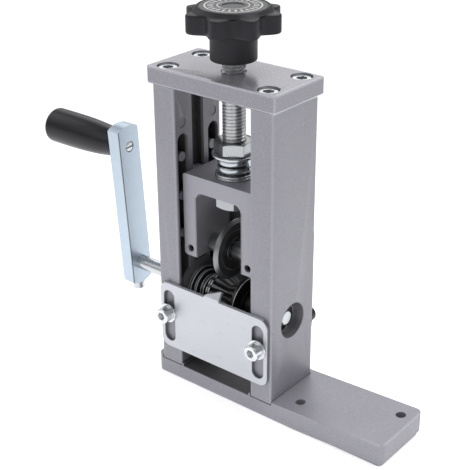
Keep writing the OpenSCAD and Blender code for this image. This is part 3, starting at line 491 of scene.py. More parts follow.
def brushed_plate(name, shade, face_y, top_z):
    """Brushed sheet whose cut edges, all that lies behind its face, are matt and carry painted shade below its
    top edge; shade scales the plate's brightness, and a low shade is painted shade for a plate in a dark place."""
    finish = Finish(name)
    streaks = finish.noise(0.4 * MM, detail=3.0, stretch=(0.012, 1, 1))
    clouds = finish.noise(20 * MM, detail=2.0)
    scuffs = finish.noise(2.5 * MM, detail=4.0, stretch=(0.3, 1, 1)).rise(0.60, 0.72)
    tone = streaks * 0.6 + clouds * 0.4
    colour = finish.blend(tone, (0.59 * shade, 0.605 * shade, 0.65 * shade, 1),
                          (0.77 * shade, 0.785 * shade, 0.84 * shade, 1))
    colour = finish.blend(scuffs * 0.25, colour, (0.5 * shade, 0.5 * shade, 0.52 * shade, 1))
    x, y, z = finish.axes()
    behind = (y - face_y).absolute()
    cut = behind.above(SKIN) * behind.below(PLATE_T)
    # Painted shade on the cut edges below the top edge.
    colour = finish.blend(cut * z.below(top_z - 0.5 * MM) * 0.8, colour, grey(DARK_MARK_LEVEL * shade))
    finish.set(Base_Color=colour, Roughness=streaks * 0.16 + clouds * 0.1 + 0.26, Metallic=0.75 - cut * 0.6)
    finish.bump(streaks, 0.01 * MM, 0.5)
    return finish.material


def zinc_plated(name, level, blue, roughness, mottle=1.2 * MM, dark_marks=None):
    """Zinc plate, mottled and cloudy; the last argument is a function that masks darker places, mostly painted
    shade in corners and crevices.
    """
    finish = Finish(name)
    spots = finish.noise(mottle, detail=3.0)
    clouds = finish.noise(8 * MM, detail=3.0)
    tone = spots * 0.5 + clouds * 0.5
    dark = (level * 0.78 * (1 - blue), level * 0.80, level * 0.82 * (1 + blue), 1)
    light = (level * 1.12 * (1 - blue), level * 1.12, level * 1.12 * (1 + blue), 1)
    colour = finish.blend(tone, dark, light)
    if dark_marks is not None:
        # Darker where the mask says: mostly painted shade.
        colour = finish.blend(dark_marks(finish), colour, grey(DARK_MARK_LEVEL))
    finish.set(Base_Color=colour, Roughness=tone * 0.18 + roughness, Metallic=0.9)
    finish.bump(spots, 0.02 * MM, 0.35)
    return finish.material


print("plate is matt behind the first", round(SKIN / MM, 2), "mm")

# %% [markdown]
# Painted shade darkens zinc in the roots of the thread, between the coils and at the nut's ends, and dark
# lines follow the nut's corners and the crank arm's rolled seam. Each function gives a mask from a distance
# to the screw's axis, from the height within the stack or from the arm's own leaning frame.

# %% Painted shade and dark lines on the bright parts
ARM_WIDTH = 14.5 * MM
SEAM_WIDTH = 0.5 * MM
CORNER_SHARE = 1.09


def thread_roots(finish):
    """Painted shade in the roots of the adjusting screw's thread, seen as a smaller distance from its axis."""
    x, y, z = finish.axes()
    radius = (x * x + y * y).root()
    return (1 - radius.rise(4.95 * MM, 5.4 * MM)) * 0.6


def coil_gaps(finish):
    """Painted shade between the coils: dark where the height is near a whole number of washer heights."""
    x, y, z = finish.axes()
    nearest = (z - spring_low.z).ping_pong(SPRING_H / 2)
    return (1 - nearest.rise(0.3 * MM, 1.0 * MM)) * 0.9


def nut_corners(finish):
    """Painted shade on the upper nut's top and bottom and the seams beside them; its chamfered corners are
    darkened too.
    """
    x, y, z = finish.axes()
    ends = (z - nut_low.z).least(nut_high.z - z)
    corner = (x * x + y * y).root().above(NUT_FLAT * CORNER_SHARE)
    return (1 - ends.rise(0.15 * MM, 0.6 * MM)).most(corner) * 0.65


def arm_seams(finish):
    """A fine dark line where two rolled faces of the bar meet, on the side towards the operator: the place
    across the leaning arm's width is y cos lean + rise sin lean."""
    x, y, z = finish.axes()
    across = y * math.cos(CRANK_LEAN) + (z - SHAFT_Z) * math.sin(CRANK_LEAN)
    right = (x - arm_high.x).absolute().below(SEAM_WIDTH)
    front = (across + ARM_WIDTH / 2).absolute().below(SEAM_WIDTH)
    return right * front * 0.8


print("arm's seam", round(SEAM_WIDTH / MM, 2), "mm wide")

# %% [markdown]
# The same two recipes serve every bright part. What differs is how pale the metal is, how blue, and how
# sharply it mirrors: a new cap screw is sharp and pale, a ground sleeve inside the yoke is dark and soft.

# %% The bright finishes
nut_low, nut_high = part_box("upper_nut")
NUT_FLAT = min(nut_high.x - nut_low.x, nut_high.y - nut_low.y) / 2
spring_low, spring_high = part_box("spring_washers")
SPRING_H = (spring_high.z - spring_low.z) / 2
arm_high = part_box("crank_arm")[1]
crank_joint = next(j for j in frame["joints"] if j["name"] == "handle_spin")
handle_axis = Vector(crank_joint["pos_m"])
CRANK_LEAN = math.atan2(-handle_axis.y, handle_axis.z - SHAFT_Z)
PLATE_TOP = SHAFT_Z + 7.3 * MM
plate_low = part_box("front_guide_plate")[0]
rear_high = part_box("rear_inlet_plate")[1]
PLATE_STEEL = brushed_plate("brushed_plate", 0.82, plate_low.y, PLATE_TOP)
# The rear plate's low shade is painted shade for its face deep in the window.
SHADED_REAR_STEEL = brushed_plate("rear_plate_shaded_steel", 0.42, rear_high.y, rear_high.z)
BRIGHT_ZINC = zinc_plated("bright_zinc", 0.64, 0.02, 0.16)
SCREW_ZINC = zinc_plated("screw_zinc", 0.76, 0.01, 0.12)
NUT_ZINC = zinc_plated("nut_zinc", 0.50, 0.02, 0.12, dark_marks=nut_corners)
LOW_NUT_ZINC = zinc_plated("low_nut_zinc", 0.46, 0.02, 0.30)
COIL_ZINC = zinc_plated("coil_zinc", 0.60, 0.05, 0.14, dark_marks=coil_gaps)
THREAD_ZINC = zinc_plated("thread_zinc", 0.80, 0.0, 0.22, dark_marks=thread_roots)
ARM_ZINC = zinc_plated("arm_zinc", 0.60, 0.13, 0.30, dark_marks=arm_seams)
GROUND_STEEL = zinc_plated("ground_steel", 0.62, 0.03, 0.18, mottle=0.6 * MM)
SLEEVE_STEEL = zinc_plated("sleeve_steel", 0.26, 0.02, 0.26, mottle=2 * MM)
RING_STEEL = zinc_plated("ring_steel", 0.60, 0.0, 0.14, mottle=0.6 * MM)
print("crank leans", round(math.degrees(CRANK_LEAN), 1), "degrees")

# %% [markdown]
# The working parts are blackened steel. Blackening wears off first where a part is farthest out, and those
# corners catch light as well, so the bright tone, partly wear and partly painted highlight, follows the
# distance from the part's own axis: rims and tooth tips gleam, webs stay dark.


# %% Blackened steel with worn rims and painted highlights
OXIDE = 0.028


def blackened(name, level=OXIDE, rims=(), teeth=0):
    """Black oxide; rims lists (radius, first x, last x) of rings whose two outer corners are worn bright and
    carry a painted highlight, and teeth breaks the bright lines into that many nicks."""
    finish = Finish(name)
    oil = finish.noise(4 * MM, detail=3.0)
    scratches = finish.noise(0.5 * MM, detail=2.0)
    dark = finish.blend(oil, grey(level * 0.8, -0.03), grey(level * 1.7, -0.02))
    bare_and_lit = None
    x, y, z = finish.axes()
    radius = distance_from_axis(finish, SHAFT_Z)
    # Each rim's outer corners: wear and a painted highlight.
    for rim, first, last in rims:
        outside = radius.rise(rim - 0.3 * MM, rim - 0.05 * MM)
        ends = (x - first).absolute().least((x - last).absolute())
        within = x.above(first - 0.3 * MM) * x.below(last + 0.3 * MM)
        line = outside * within * (1 - ends.rise(0.35 * MM, 0.55 * MM) * 0.9)
        bare_and_lit = line if bare_and_lit is None else bare_and_lit.most(line)
    if bare_and_lit is None:
        finish.set(Base_Color=dark, Roughness=oil * 0.2 + 0.28, Metallic=0.7)
    else:
        if teeth:
            nick = (z - SHAFT_Z).angle_to(y).ping_pong(math.pi / teeth)
            bare_and_lit = bare_and_lit * nick.rise(0.3 * math.pi / teeth, 0.5 * math.pi / teeth)
        bare_and_lit = bare_and_lit * (0.7 + scratches * 0.6)
        finish.set(Base_Color=finish.blend(bare_and_lit, dark, grey(0.9, -0.02)),
                   Roughness=0.34 - bare_and_lit * 0.1, Metallic=0.75 - bare_and_lit * 0.6)
    finish.bump(scratches, 0.02 * MM, 0.4)
    return finish.material


print("plain black oxide is at", OXIDE)

# %% [markdown]
# The collar has three steps, each with two worn corners that carry a painted highlight. Of the right disc
# only the outer corner on its right shines with a painted highlight, and the left disc's bright lines are
# broken into nicks.

# %% The black finishes
blade_low, blade_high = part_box("cutting_blade")
BLADE_Z = (blade_low.z + blade_high.z) / 2
BLADE_R = (blade_high.z - blade_low.z) / 2
BLADE_X = (blade_low.x + blade_high.x) / 2
roller_low, roller_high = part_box("feed_roller")
ROLLER_R = (roller_high.y - roller_low.y) / 2
BLACK_OXIDE = blackened("black_oxide")
disc_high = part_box("right_guide_disc")[1]
left_disc_low, left_disc_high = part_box("left_guide_disc")
COLLAR_SIDE = -INNER_X + 0.5 * MM
COLLAR_RIMS = [(11.7 * MM, COLLAR_SIDE, COLLAR_SIDE + 2.0 * MM),
               (10.3 * MM, COLLAR_SIDE + 2.9 * MM, COLLAR_SIDE + 4.5 * MM),
               (8.2 * MM, COLLAR_SIDE + 5.4 * MM, COLLAR_SIDE + 7.8 * MM)]
COLLAR_BLACK = blackened("collar_black", 0.05, COLLAR_RIMS)
DISC_BLACK = blackened("disc_black", 0.04, [(disc_high.y, disc_high.x, disc_high.x)])
LEFT_DISC_BLACK = blackened("left_disc_black", 0.05,
                            [(left_disc_high.y, left_disc_low.x, left_disc_high.x)], teeth=18)
print("blade", round(2 * BLADE_R / MM, 1), "mm and roller", round(2 * ROLLER_R / MM, 1), "mm across")

# %% [markdown]
# Knob and handle are black plastic. Moulded plastic is never quite black: its skin is a satin grey sheen
# over a dark body, with a faint pebble from the mould.


# %% Moulded plastic
def moulded_plastic(name, level, roughness, pebble=0.4 * MM):
    """Black plastic with a fine pebble and faint smears from hands."""
    finish = Finish(name)
    skin = finish.noise(pebble, detail=1.0)
    smears = finish.noise(12 * MM, detail=2.0)
    finish.set(Base_Color=finish.blend(smears, tinted(level * 0.85), tinted(level * 1.25)),
               Roughness=smears * 0.14 + roughness, Metallic=0.0, Specular_IOR_Level=0.38,
               Specular_Tint=(0.92, 0.89, 1.0, 1))
    finish.bump(skin, 0.03 * MM, 0.4)
    return finish.material


KNOB_BLACK = moulded_plastic("knob_black", 0.013, 0.42)
HANDLE_BLACK = moulded_plastic("handle_black", 0.008, 0.29)
print("plastic:", KNOB_BLACK.name, "and", HANDLE_BLACK.name)

# %% [markdown]
# Every carried-over solid needs its sharp edges taken off, because real edges catch a thin line of light.
# The frame's mesh is loose triangles, so a copy is merged, its flat facets are joined into whole faces, and
# a Bevel modifier rounds what is left between them.


# %% Rounded copies of the solids
SHARP = math.radians(32)
FLAT = math.radians(0.5)
MERGE = 0.002 * MM


def finished(piece, body, slot, material, node=None):
    """Gives a piece its material and the body it moves with, and hides the solid that it stands for; slot is not
    used.
    """
    piece.data.materials.clear()
    piece.data.materials.append(material)
    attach(piece, body)
    if node:
        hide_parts(node)
    return piece


def body_of_node(node):
    """The body that a solid moves with."""
    bodies = frame["record"]["behaviour"]["bodies"]
    return next(name for name, members in bodies.items() if node in members)


def slot_of_node(node):
    """The material slot that the record gives a solid."""
    return next(s["material_slot"] for s in frame["record"]["subparts"] if s["node"] == node)


def rounded(node, material, width, segments=2):
    """A merged copy of a solid with its edges rounded by width, which stands for the solid."""
    mesh = frame["nodes"][node].data.copy()
    work = bmesh.new()
    work.from_mesh(mesh)
    bmesh.ops.remove_doubles(work, verts=work.verts, dist=MERGE)
    bmesh.ops.dissolve_limit(work, angle_limit=FLAT, verts=work.verts, edges=work.edges)
    work.to_mesh(mesh)
    work.free()
    mesh.shade_smooth()
    mesh.set_sharp_from_angle(angle=SHARP)
    piece = bpy.data.objects.new(node + "_shown", mesh)
    bpy.context.scene.collection.objects.link(piece)
    edge = piece.modifiers.new("edges", "BEVEL")
    edge.width = width
    edge.segments = segments
    edge.limit_method = "ANGLE"
    edge.angle_limit = SHARP
    edge.harden_normals = True
    edge.use_clamp_overlap = True
    return finished(piece, body_of_node(node), slot_of_node(node), material, node)


# Each solid's material and the width of its rounded edges in millimetres
ROUNDED = {
    "base_plate": (BASE_GREY, 0.5), "left_upright": (LEFT_UPRIGHT_GREY, 0.3),
    "right_upright": (UPRIGHT_GREY, 0.3), "top_plate": (TOP_GREY, 0.4), "yoke": (YOKE_GREY, 0.8),
    "front_guide_plate": (PLATE_STEEL, 0.25), "rear_inlet_plate": (SHADED_REAR_STEEL, 0.25),
    "crank_arm": (ARM_ZINC, 0.5),
    "base_screws": (BRIGHT_ZINC, 0.15), "top_plate_screws": (BRIGHT_ZINC, 0.2),
    "front_plate_screws": (SCREW_ZINC, 0.2), "front_plate_washers": (SCREW_ZINC, 0.15),
    "rear_plate_screws": (BLACK_OXIDE, 0.2), "rear_plate_washers": (BLACK_OXIDE, 0.15),
    "crank_clamp_screw": (BRIGHT_ZINC, 0.2), "crank_clamp_washer": (BRIGHT_ZINC, 0.12),
    "handle_bolt": (BRIGHT_ZINC, 0.15), "upper_nut": (NUT_ZINC, 0.15), "lower_nut": (LOW_NUT_ZINC, 0.15),
    "drive_shaft": (GROUND_STEEL, 0.1), "blade_axle": (GROUND_STEEL, 0.1),
    "axle_set_screws": (BLACK_OXIDE, 0.1), "axle_spacers": (SLEEVE_STEEL, 0.15),
    "retaining_rings": (BLACK_OXIDE, 0.08), "bearing_outer_rings": (RING_STEEL, 0.15),
    "bearing_inner_rings": (RING_STEEL, 0.1), "bearing_balls": (RING_STEEL, 0),
    "left_collar": (COLLAR_BLACK, 0.2), "left_guide_disc": (LEFT_DISC_BLACK, 0.2),
    "roller_spacer": (BLACK_OXIDE, 0.15),
    "right_guide_disc": (DISC_BLACK, 0.2), "right_collar": (BLACK_OXIDE, 0.2),
}
for node, (material, width_mm) in ROUNDED.items():
    if width_mm:
        rounded(node, material, width_mm * MM)
    else:
        frame["nodes"][node].data.materials.clear()
        frame["nodes"][node].data.materials.append(material)
print(len(ROUNDED), "solids dressed")

# %% [markdown]
# New shapes are surfaces of two parameters. A profile given as (radius, height) pairs is turned about an
# axis, and a grid of points becomes a mesh of quads. Rows that shrink to a point close the pole, and the
# doubled points there are merged.


# %% Surfaces on a grid
WELD = 0.0005 * MM
CORNER_SPLIT = 2.2


def grid_piece(name, points, closed_u=True, closed_v=False):
    """A mesh over points[u, v]; closed_u joins the last row to the first, closed_v the last column."""
    rows, columns = points.shape[:2]
    u = np.arange(rows if closed_u else rows - 1)
    v = np.arange(columns if closed_v else columns - 1)
    uu, vv = np.meshgrid(u, v, indexing="ij")
    next_u = (uu + 1) % rows
    next_v = (vv + 1) % columns
    faces = np.stack([uu * columns + vv, next_u * columns + vv, next_u * columns + next_v,
                      uu * columns + next_v], axis=-1).reshape(-1, 4)
    mesh = bpy.data.meshes.new(name)
    mesh.from_pydata(points.reshape(-1, 3).tolist(), [], faces.tolist())
    work = bmesh.new()
    work.from_mesh(mesh)
    bmesh.ops.remove_doubles(work, verts=work.verts, dist=WELD)
    bmesh.ops.recalc_face_normals(work, faces=work.faces)
    work.to_mesh(mesh)
    work.free()
    mesh.shade_smooth()
    mesh.set_sharp_from_angle(angle=SHARP)
    piece = bpy.data.objects.new(name, mesh)
    bpy.context.scene.collection.objects.link(piece)
    return piece


def arc_end(corner, other, radius):
    """The point a radius away from the corner towards the other point, but always short of halfway."""
    length = max(np.linalg.norm(other - corner), 1e-9)
    return corner + (other - corner) / length * min(radius, length / CORNER_SPLIT)


def softened(profile, radius, steps=4):
    """The profile with each inner corner replaced by an arc-like curve that starts radius away from it."""
    profile = np.asarray(profile, float)
    out = [profile[:1]]
    t = np.linspace(0, 1, steps + 1)[:, None]
    for before, corner, after in zip(profile[:-2], profile[1:-1], profile[2:]):
        start = arc_end(corner, before, radius)
        end = arc_end(corner, after, radius)
        out.append((1 - t) ** 2 * start + 2 * t * (1 - t) * corner + t ** 2 * end)
    out.append(profile[-1:])
    return np.concatenate(out)


def turned_z(profile, segments=96):
    """Points of a (radius, height) profile turned about the Z axis."""
    angle = np.linspace(0, 2 * np.pi, segments, endpoint=False)[:, None]
    radius, height = profile[None, :, 0], profile[None, :, 1]
    return np.stack([radius * np.cos(angle), radius * np.sin(angle),
                     height * np.ones_like(angle)], axis=-1)


print("grid points closer than", round(WELD / MM, 4), "mm are welded")

# %% [markdown]
# The adjusting screw is the brightest thing in the window, and its thread is what one sees of it. A screw
# thread is a surface whose radius depends on how far a point has climbed relative to its own turn: the
# phase is height / pitch minus angle / full turn, and the profile is a flat crest, a flank, a narrow root
# and the other flank.

# %% The adjusting screw
PITCH = 1.75 * MM
THREAD_DEPTH = 1.0 * MM
CREST_EDGE = 0.86
FLANK_SHARE = 0.66


def thread_radius(phase, crest, depth):
    """Radius at a phase of 0 to 1 along one pitch: crest at 0, root at a half, with straight flanks."""
    away = np.abs((phase % 1.0) - 0.5) * 2
    return crest - depth * np.clip((CREST_EDGE - away) / FLANK_SHARE, 0, 1)


def threaded_rod(name, low, high, radius, segments=64, steps_a_pitch=12):
    """A rod along Z from low to high whose side is a helical thread, with chamfered ends."""
    chamfer = 0.9 * MM
    rings = int((high - low) / PITCH * steps_a_pitch)
    height = np.linspace(low, high, rings)[None, :]
    angle = np.linspace(0, 2 * np.pi, segments, endpoint=False)[:, None]
    side = thread_radius(height / PITCH - angle / (2 * np.pi), radius, THREAD_DEPTH)
    side = np.minimum(side, radius - chamfer + np.minimum(height - low, high - height))
    x = side * np.cos(angle)
    y = side * np.sin(angle)
    z = height * np.ones_like(angle)
    body = np.stack([x, y, z], axis=-1)
    foot = np.broadcast_to(np.array([0, 0, low]), (segments, 1, 3))
    head = np.broadcast_to(np.array([0, 0, high]), (segments, 1, 3))
    return grid_piece(name, np.concatenate([foot, body, head], axis=1))


rod_low, rod_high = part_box("adjusting_screw")
ROD_R = rod_high.x
screw = threaded_rod("adjusting_screw_thread", rod_low.z, rod_high.z, ROD_R)
finished(screw, "adjuster", "bright_zinc", THREAD_ZINC, "adjusting_screw")
print("thread of", round((rod_high.z - rod_low.z) / PITCH), "turns")

# %% [markdown]
# Washers are punched or coiled. A punched washer has a rounded rim; a thrust ring is the same, thicker. A
# split spring washer is one turn of thick wire with rounded corners, cut through and sprung a little apart:
# its section is carried along a helix of just under a full turn.

# %% Washers on the screw
COIL_TURN = math.radians(347)
SLIT_ANGLES = (0.17, -2.27)
RING_ROUND = 0.4 * MM


def ring_piece(name, low, high, outer, inner, round_by):
    """A ring between two heights with its outer corners rounded."""
    profile = softened([(inner, low), (outer, low), (outer, high), (inner, high)], round_by)
    return grid_piece(name, turned_z(profile), closed_v=True)


def split_washer(name, low, high, outer, inner, start_angle, rise_share=0.24, round_by=1.3 * MM):
    """One turn of wire between two heights: its section is carried round while it climbs by the rise."""
    turn = np.linspace(0, COIL_TURN, 160)
    rise = (high - low) * rise_share
    wire = (high - low) - rise
    corners = softened([(inner, wire / 2), (inner, 0), (outer, 0), (outer, wire), (inner, wire),
                        (inner, wire / 2)], round_by)
    radius, up = corners[None, :-1, 0], corners[None, :-1, 1]
    angle = (start_angle + turn)[:, None]
    climb = (turn / turn[-1] * rise)[:, None]
    body = np.stack([radius * np.cos(angle), radius * np.sin(angle), low + up + climb], axis=-1)
    ends = [np.repeat(body[i].mean(0)[None, None], body.shape[1], axis=1) for i in (0, -1)]
    return grid_piece(name, np.concatenate([ends[0], body, ends[1]]), closed_u=False, closed_v=True)


flat_low, flat_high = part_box("flat_washer")
BORE_R = ROD_R + 0.2 * MM
washer = ring_piece("flat_washer_shown", flat_low.z, flat_high.z, flat_high.x, BORE_R, RING_ROUND)
finished(washer, "adjuster", "bright_zinc", BRIGHT_ZINC, "flat_washer")
for index, start in enumerate(SLIT_ANGLES):
    low = spring_low.z + index * SPRING_H
    coil = split_washer(f"spring_washer_{index + 1}", low, low + SPRING_H, spring_high.y, BORE_R, start)
    finished(coil, "adjuster", "bright_zinc", COIL_ZINC, "spring_washers")
ring_low, ring_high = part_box("thrust_rings")
RING_STEP = (ring_low.z + ring_high.z) / 2
UPPER_RING_R = ring_high.x - 0.3 * MM
lower_ring = ring_piece("thrust_ring_lower", ring_low.z, RING_STEP, ring_high.x, BORE_R, RING_ROUND)
upper_ring = ring_piece("thrust_ring_upper", RING_STEP, ring_high.z, UPPER_RING_R, BORE_R, RING_ROUND)
for piece in (lower_ring, upper_ring):
    finished(piece, "slider", "bright_zinc", BRIGHT_ZINC, "thrust_rings")
print("washer stack", round((flat_high.z - ring_low.z) / MM, 2), "mm high")

# %% [markdown]
# The star knob is moulded in one piece: a round hub that opens into eight soft lobes under a low crown. Its
# surface is one grid of angle against profile. Each profile point has a mean radius, a height and a share
# of the lobes' wave, which fades to nothing on the hub and on the crown.

# %% The star knob
KNOB_ANGLE = math.radians(-5.6)
LOBES = 8
knob_low, knob_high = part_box("star_knob")
cap_low, cap_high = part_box("knob_cap")
HUB_R = 11.5 * MM
LOBE_R = 24.0 * MM
HOLLOW_R = 19.0 * MM
CAP_R = (cap_high.x - cap_low.x) / 2
ROD_TOP = rod_high.z


def knob_surface():
    """Radius is the profile's mean radius plus its lobe share times the wave; height is the profile's own."""
    mean = (LOBE_R + HOLLOW_R) / 2
    foot_z = knob_low.z
    top_z = knob_high.z
    grip_z = foot_z + 14.5 * MM
    crown_z = top_z - 2.4 * MM
    rows = [
        (ROD_R, ROD_TOP, 0), (ROD_R, foot_z, 0), (HUB_R, foot_z, 0), (HUB_R, grip_z - 0.3 * MM, 0),
        (HUB_R + 0.8 * MM, grip_z, 0), (mean - 0.7 * MM, grip_z, 1), (mean, grip_z + 0.7 * MM, 1),
        (mean, crown_z - 0.5 * MM, 1), (mean - 0.5 * MM, crown_z, 1),
        (HOLLOW_R + 0.5 * MM, crown_z + 0.35 * MM, 0.15), (CAP_R + 1.3 * MM, top_z - 0.4 * MM, 0),
        (CAP_R + 0.7 * MM, top_z, 0), (CAP_R, top_z, 0), (CAP_R, top_z - 1.4 * MM, 0),
        (0, top_z - 1.4 * MM, 0),
    ]
    flat = np.array([(r, z) for r, z, share in rows])
    shares = np.array([share for r, z, share in rows], float)
    length = np.concatenate([[0], np.cumsum(np.linalg.norm(np.diff(flat, axis=0), axis=1))])
    smooth = softened(flat, 0.6 * MM, steps=4)
    along = np.concatenate([[0], np.cumsum(np.linalg.norm(np.diff(smooth, axis=0), axis=1))])
    share = np.interp(along / along[-1], length / length[-1], shares)
    angle = np.linspace(0, 2 * np.pi, 320, endpoint=False)[:, None]
    wave = np.cos(LOBES * (angle - KNOB_ANGLE) - np.pi)
    radius = smooth[None, :, 0] + share[None, :] * wave * (LOBE_R - HOLLOW_R) / 2
    height = smooth[None, :, 1] * np.ones_like(angle)
    return np.stack([radius * np.cos(angle), radius * np.sin(angle), height], axis=-1)


knob = grid_piece("star_knob_shown", knob_surface())
finished(knob, "adjuster", "black_plastic", KNOB_BLACK, "star_knob")
print("knob has", len(knob.data.polygons), "faces")

# %% [markdown]
# The knob's cap is a printed disc like a dial's, with a plain pale ring and a row of tick marks. Modelled
# ink would be thinner than a hair, so the marks are worked out in the material from the angle and the
# distance to the axis, with a trace of relief for the ink.

# %% The knob's cap
TICKS = 24


def printed_cap(name):
    """Dark cap with a pale ring, a fine inner ring and ticks at even turns about the Z axis."""
    finish = Finish(name)
    x, y, z = finish.axes()
    radius = (x * x + y * y).root()
    turn = x.angle_to(y) + math.pi
    tick_gap = 2 * math.pi / TICKS
    beside_tick = turn.ping_pong(tick_gap / 2) * radius
    ticks = beside_tick.below(0.45 * MM) * radius.above(9.6 * MM) * radius.below(12.4 * MM)
    ring = radius.above(13.3 * MM) * radius.below(14.0 * MM)
    inner = radius.above(7.4 * MM) * radius.below(7.9 * MM)
    marks = ticks + ring + inner
    wear = finish.noise(0.6 * MM, detail=2.0)
    finish.set(Base_Color=finish.blend(marks * (0.8 + wear * 0.2), grey(0.07, -0.03), grey(0.75)),
               Roughness=wear * 0.1 + 0.42)
    finish.bump(marks, 0.04 * MM, 0.6)
    return finish.material


CAP_PRINT = printed_cap("cap_print")
rounded("knob_cap", CAP_PRINT, 0.2 * MM)
print("cap has", TICKS, "ticks")

# %% [markdown]
# The handle was turned from black plastic on its bolt: slim beside the arm, fullest near the free end, with
# a rounded rim and a well for the bolt's head. It is a revolve about the bolt's axis, which runs along X at
# the end of the leaning arm, so the profile is turned about X through the handle's hinge.

# %% The crank handle
handle_low, handle_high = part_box("crank_handle")
HANDLE_L = handle_high.x - handle_low.x


def turned_x(profile, centre, segments=96):
    """Points of a (radius, x) profile turned about the line along X through centre."""
    angle = np.linspace(0, 2 * np.pi, segments, endpoint=False)[:, None]
    radius, along = profile[None, :, 0], profile[None, :, 1]
    return np.stack([along * np.ones_like(angle), centre.y + radius * np.cos(angle),
                     centre.z + radius * np.sin(angle)], axis=-1)


def handle_profile():
    """Outside from the arm to the free end, slim at first and then nearly straight, then the bolt's well."""
    share = np.linspace(0, 1, 48)
    belly_x = (0, 0.08, 0.2, 0.36, 0.55, 0.8, 1.0)
    belly_r = (7.4, 7.75, 8.45, 9.1, 9.5, 9.65, 9.65)
    slope = np.gradient(belly_r, belly_x)
    outside_r = smooth_through(share, np.array(belly_x), np.array(belly_r), slope) * MM
    round_r = 2.0 * MM
    outside = np.stack([outside_r, handle_high.x - share * (HANDLE_L - round_r)], axis=-1)
    rim = np.linspace(0, np.pi / 2, 9)[1:]
    corner = np.stack([outside[-1, 0] - round_r + round_r * np.cos(rim),
                       handle_low.x + round_r - round_r * np.sin(rim)], axis=-1)
    well = [(6.0 * MM, handle_low.x), (5.7 * MM, handle_low.x + 0.4 * MM),
            (5.7 * MM, handle_low.x + 6 * MM), (3.15 * MM, handle_low.x + 6 * MM)]
    neck = [(3.15 * MM, handle_high.x), (7.0 * MM, handle_high.x)]
    return np.concatenate([neck, outside, corner, well])


def smooth_through(at, x, y, slope):
    """Cubic curve through the points (x, y) with the given slopes, in Hermite form on each span."""
    k = np.clip(np.searchsorted(x, at) - 1, 0, len(x) - 2)
    span = x[k + 1] - x[k]
    t = (at - x[k]) / span
    return ((2 * t ** 3 - 3 * t ** 2 + 1) * y[k] + (t ** 3 - 2 * t ** 2 + t) * span * slope[k]
            + (3 * t ** 2 - 2 * t ** 3) * y[k + 1] + (t ** 3 - t ** 2) * span * slope[k + 1])


handle = grid_piece("crank_handle_shown", turned_x(handle_profile(), handle_axis), closed_v=True)
finished(handle, "handle", "black_plastic", HANDLE_BLACK, "crank_handle")
print("handle", round(HANDLE_L / MM, 1), "mm long")

# %% [markdown]
# The blade is blackened on its faces and ground bright on its bevel. The solid already has the double bevel
# and the relieved web; the remade surface has more facets round the edge and soft corners. Its material
# adds fine turning rings and switches from black oxide to bright steel where the bevel starts.

# %% The cutting blade
BEVEL_R = BLADE_R - 1.9 * MM
LAND_R = 10.6 * MM
LAND_EDGE_R = 10.9 * MM
RINGS_A_METRE = 9000
# How far the web and the bore lie under the blade's face, in millimetres
WEB_RELIEF = 0.5
BORE_RELIEF = 0.9


def blade_finish(name):
    """Dark web, a paler land and a ground bevel, each with turning rings: a noise of the radius alone."""
    finish = Finish(name)
    radius = distance_from_axis(finish, BLADE_Z)
    rings = finish.node("ShaderNodeTexNoise", {"noise_dimensions": "1D"},
                        {"W": radius, "Scale": RINGS_A_METRE, "Detail": 2.0})
    turned = Value(finish.tree, rings.outputs["Fac"])
    oil = finish.noise(3 * MM, detail=3.0)
    ground = radius.rise(BEVEL_R - 0.1 * MM, BEVEL_R + 0.05 * MM)
    land = radius.rise(LAND_R, LAND_EDGE_R)
    dark = finish.blend(oil * 0.6 + turned * 0.4, grey(0.03), grey(0.075, -0.02))
    mid = finish.blend(turned * 0.5 + oil * 0.5, grey(0.07, -0.02), grey(0.14, -0.02))
    bright = finish.blend(turned, grey(0.19, -0.02), grey(0.35, -0.02))
    face = finish.blend(land, dark, mid)
    finish.set(Base_Color=finish.blend(ground, face, bright), Roughness=0.38 - ground * 0.08,
               Metallic=0.75 + ground * 0.2)
    finish.bump(turned, 0.015 * MM, 0.6)
    return finish.material


def blade_profile():
    """Half section of the blade as (radius, x), from the sunk bore round both faces and back."""
    half = (blade_high.x - blade_low.x) / 2 / MM
    web = half - WEB_RELIEF
    sunk = half - BORE_RELIEF
    side = [(4.08, sunk), (5.4, sunk), (5.6, half), (6.4, half), (6.8, web), (10.6, web), (11.0, half),
            (BEVEL_R / MM, half), (BLADE_R / MM, 0.15)]
    other = [(r, -x) for r, x in reversed(side)]
    profile = softened(np.array(side + other) * MM, 0.15 * MM, steps=3)
    return profile + np.array([0, BLADE_X])


blade_points = turned_x(blade_profile(), Vector((0, 0, BLADE_Z)), 144)
blade = grid_piece("cutting_blade_shown", blade_points, closed_v=True)
finished(blade, "blade", "blade_steel", blade_finish("blade_face"), "cutting_blade")
print("blade's bevel", round((BLADE_R - BEVEL_R) / MM, 2), "mm wide")

# %% [markdown]
# The feed roller is the heart of the tool: it is waisted like an hourglass, so that the wire slides to its
# middle under the blade, and it is cut with teeth that grip the insulation. Its surface is one grid of
# angle against length. The radius falls from each rim to the waist, and the gaps between the teeth are
# taken off it: a function of the angle with broad lands and narrow gaps, which run the roller's whole
# length.

# %% The feed roller
TEETH = 18
ROLLER_X = (roller_low.x + roller_high.x) / 2
ROLLER_HALF = (roller_high.x - roller_low.x) / 2
VEE = 3.4 * MM
TOOTH = 1.5 * MM
TOOTH_TURN = math.radians(4.7)
GAP_HALF = 1.3 * MM
GAP_SHARPNESS = 0.9
WAIST_ROUND = 0.0016


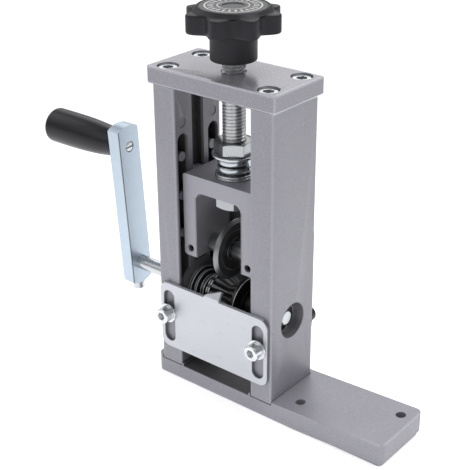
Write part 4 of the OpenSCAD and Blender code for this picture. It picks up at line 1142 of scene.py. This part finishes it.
def roller_surface(segments_a_tooth=20, columns=61):
    """Radius = rim - VEE * (1 - |x|) - TOOTH * gap(angle), with x from -1 to 1 along the roller and gap 1 in
    the middle of each gap. The root of x squared plus a little stands for |x| and rounds the waist."""
    turn = np.linspace(0, 2 * np.pi, TEETH * segments_a_tooth, endpoint=False)[:, None]
    x = np.linspace(-1, 1, columns)[None, :]
    away = np.sqrt(x ** 2 + WAIST_ROUND)
    flank = ROLLER_R - VEE * np.clip(1 - away, 0, 1)
    phase = np.abs(((turn - TOOTH_TURN) * TEETH / (2 * np.pi) + 0.5) % 1.0 - 0.5)
    half_gap = GAP_HALF / (flank * 2 * np.pi / TEETH)
    gap = np.clip(1 - phase / half_gap, 0, 1)
    radius = flank - TOOTH * gap ** GAP_SHARPNESS
    side = np.stack([x * ROLLER_HALF + ROLLER_X + 0 * turn, radius * np.sin(turn), radius * np.cos(turn)], -1)
    ends = np.broadcast_to(x[:, [0, -1]] * ROLLER_HALF + ROLLER_X, (len(turn), 2))
    bore = np.stack([ends, SHAFT_R * np.sin(turn) * np.ones((1, 2)),
                     SHAFT_R * np.cos(turn) * np.ones((1, 2))], -1)
    points = np.concatenate([bore[:, :1], side, bore[:, 1:]], axis=1)
    points[..., 2] += SHAFT_Z
    return points


def roller_finish(name):
    """Black in the gaps, bare and highlighted on the lands that rub on wire, with the painted highlight brightest
    at the left rim.
    """
    finish = Finish(name)
    x, y, z = finish.axes()
    radius = distance_from_axis(finish, SHAFT_Z)
    land = ROLLER_R - VEE + (x - ROLLER_X).absolute() * (VEE / ROLLER_HALF)
    wear_and_highlight = (radius - land).rise(-0.55 * MM, -0.05 * MM)
    oil = finish.noise(3 * MM, detail=3.0)
    scratches = finish.noise(0.5 * MM, detail=2.0)
    bare_and_lit = wear_and_highlight * (0.3 + scratches * 0.7)
    dark = finish.blend(oil, grey(0.02, 0.0), grey(0.055, 0.0))
    # Painted highlight, brightest at the left rim and weaker further along.
    end = (x - roller_low.x).rise(0.2 * MM, 0.9 * MM)
    bare_and_lit = bare_and_lit * (1.0 - end * 0.35)
    finish.set(Base_Color=finish.blend(bare_and_lit, dark, grey(0.50, -0.02)),
               Roughness=0.42 - bare_and_lit * 0.1, Metallic=0.7 - bare_and_lit * 0.3)
    finish.bump(scratches, 0.02 * MM, 0.4)
    return finish.material


SHAFT_R = (shaft_high.z - shaft_low.z) / 2 + 0.02 * MM
roller = grid_piece("feed_roller_shown", roller_surface(), closed_v=True)
finished(roller, "drive", "black_steel", roller_finish("roller_steel"), "feed_roller")
print("roller has", len(roller.data.polygons), "faces")

# %% [markdown]
# A dressed part must still fill the space of its solids, because whoever places it goes by them. So the span
# of what shows is printed at the end.

# %% The box of what shows
low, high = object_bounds()
print("dressed part spans", [round(v / MM, 1) for v in high - low], "mm")
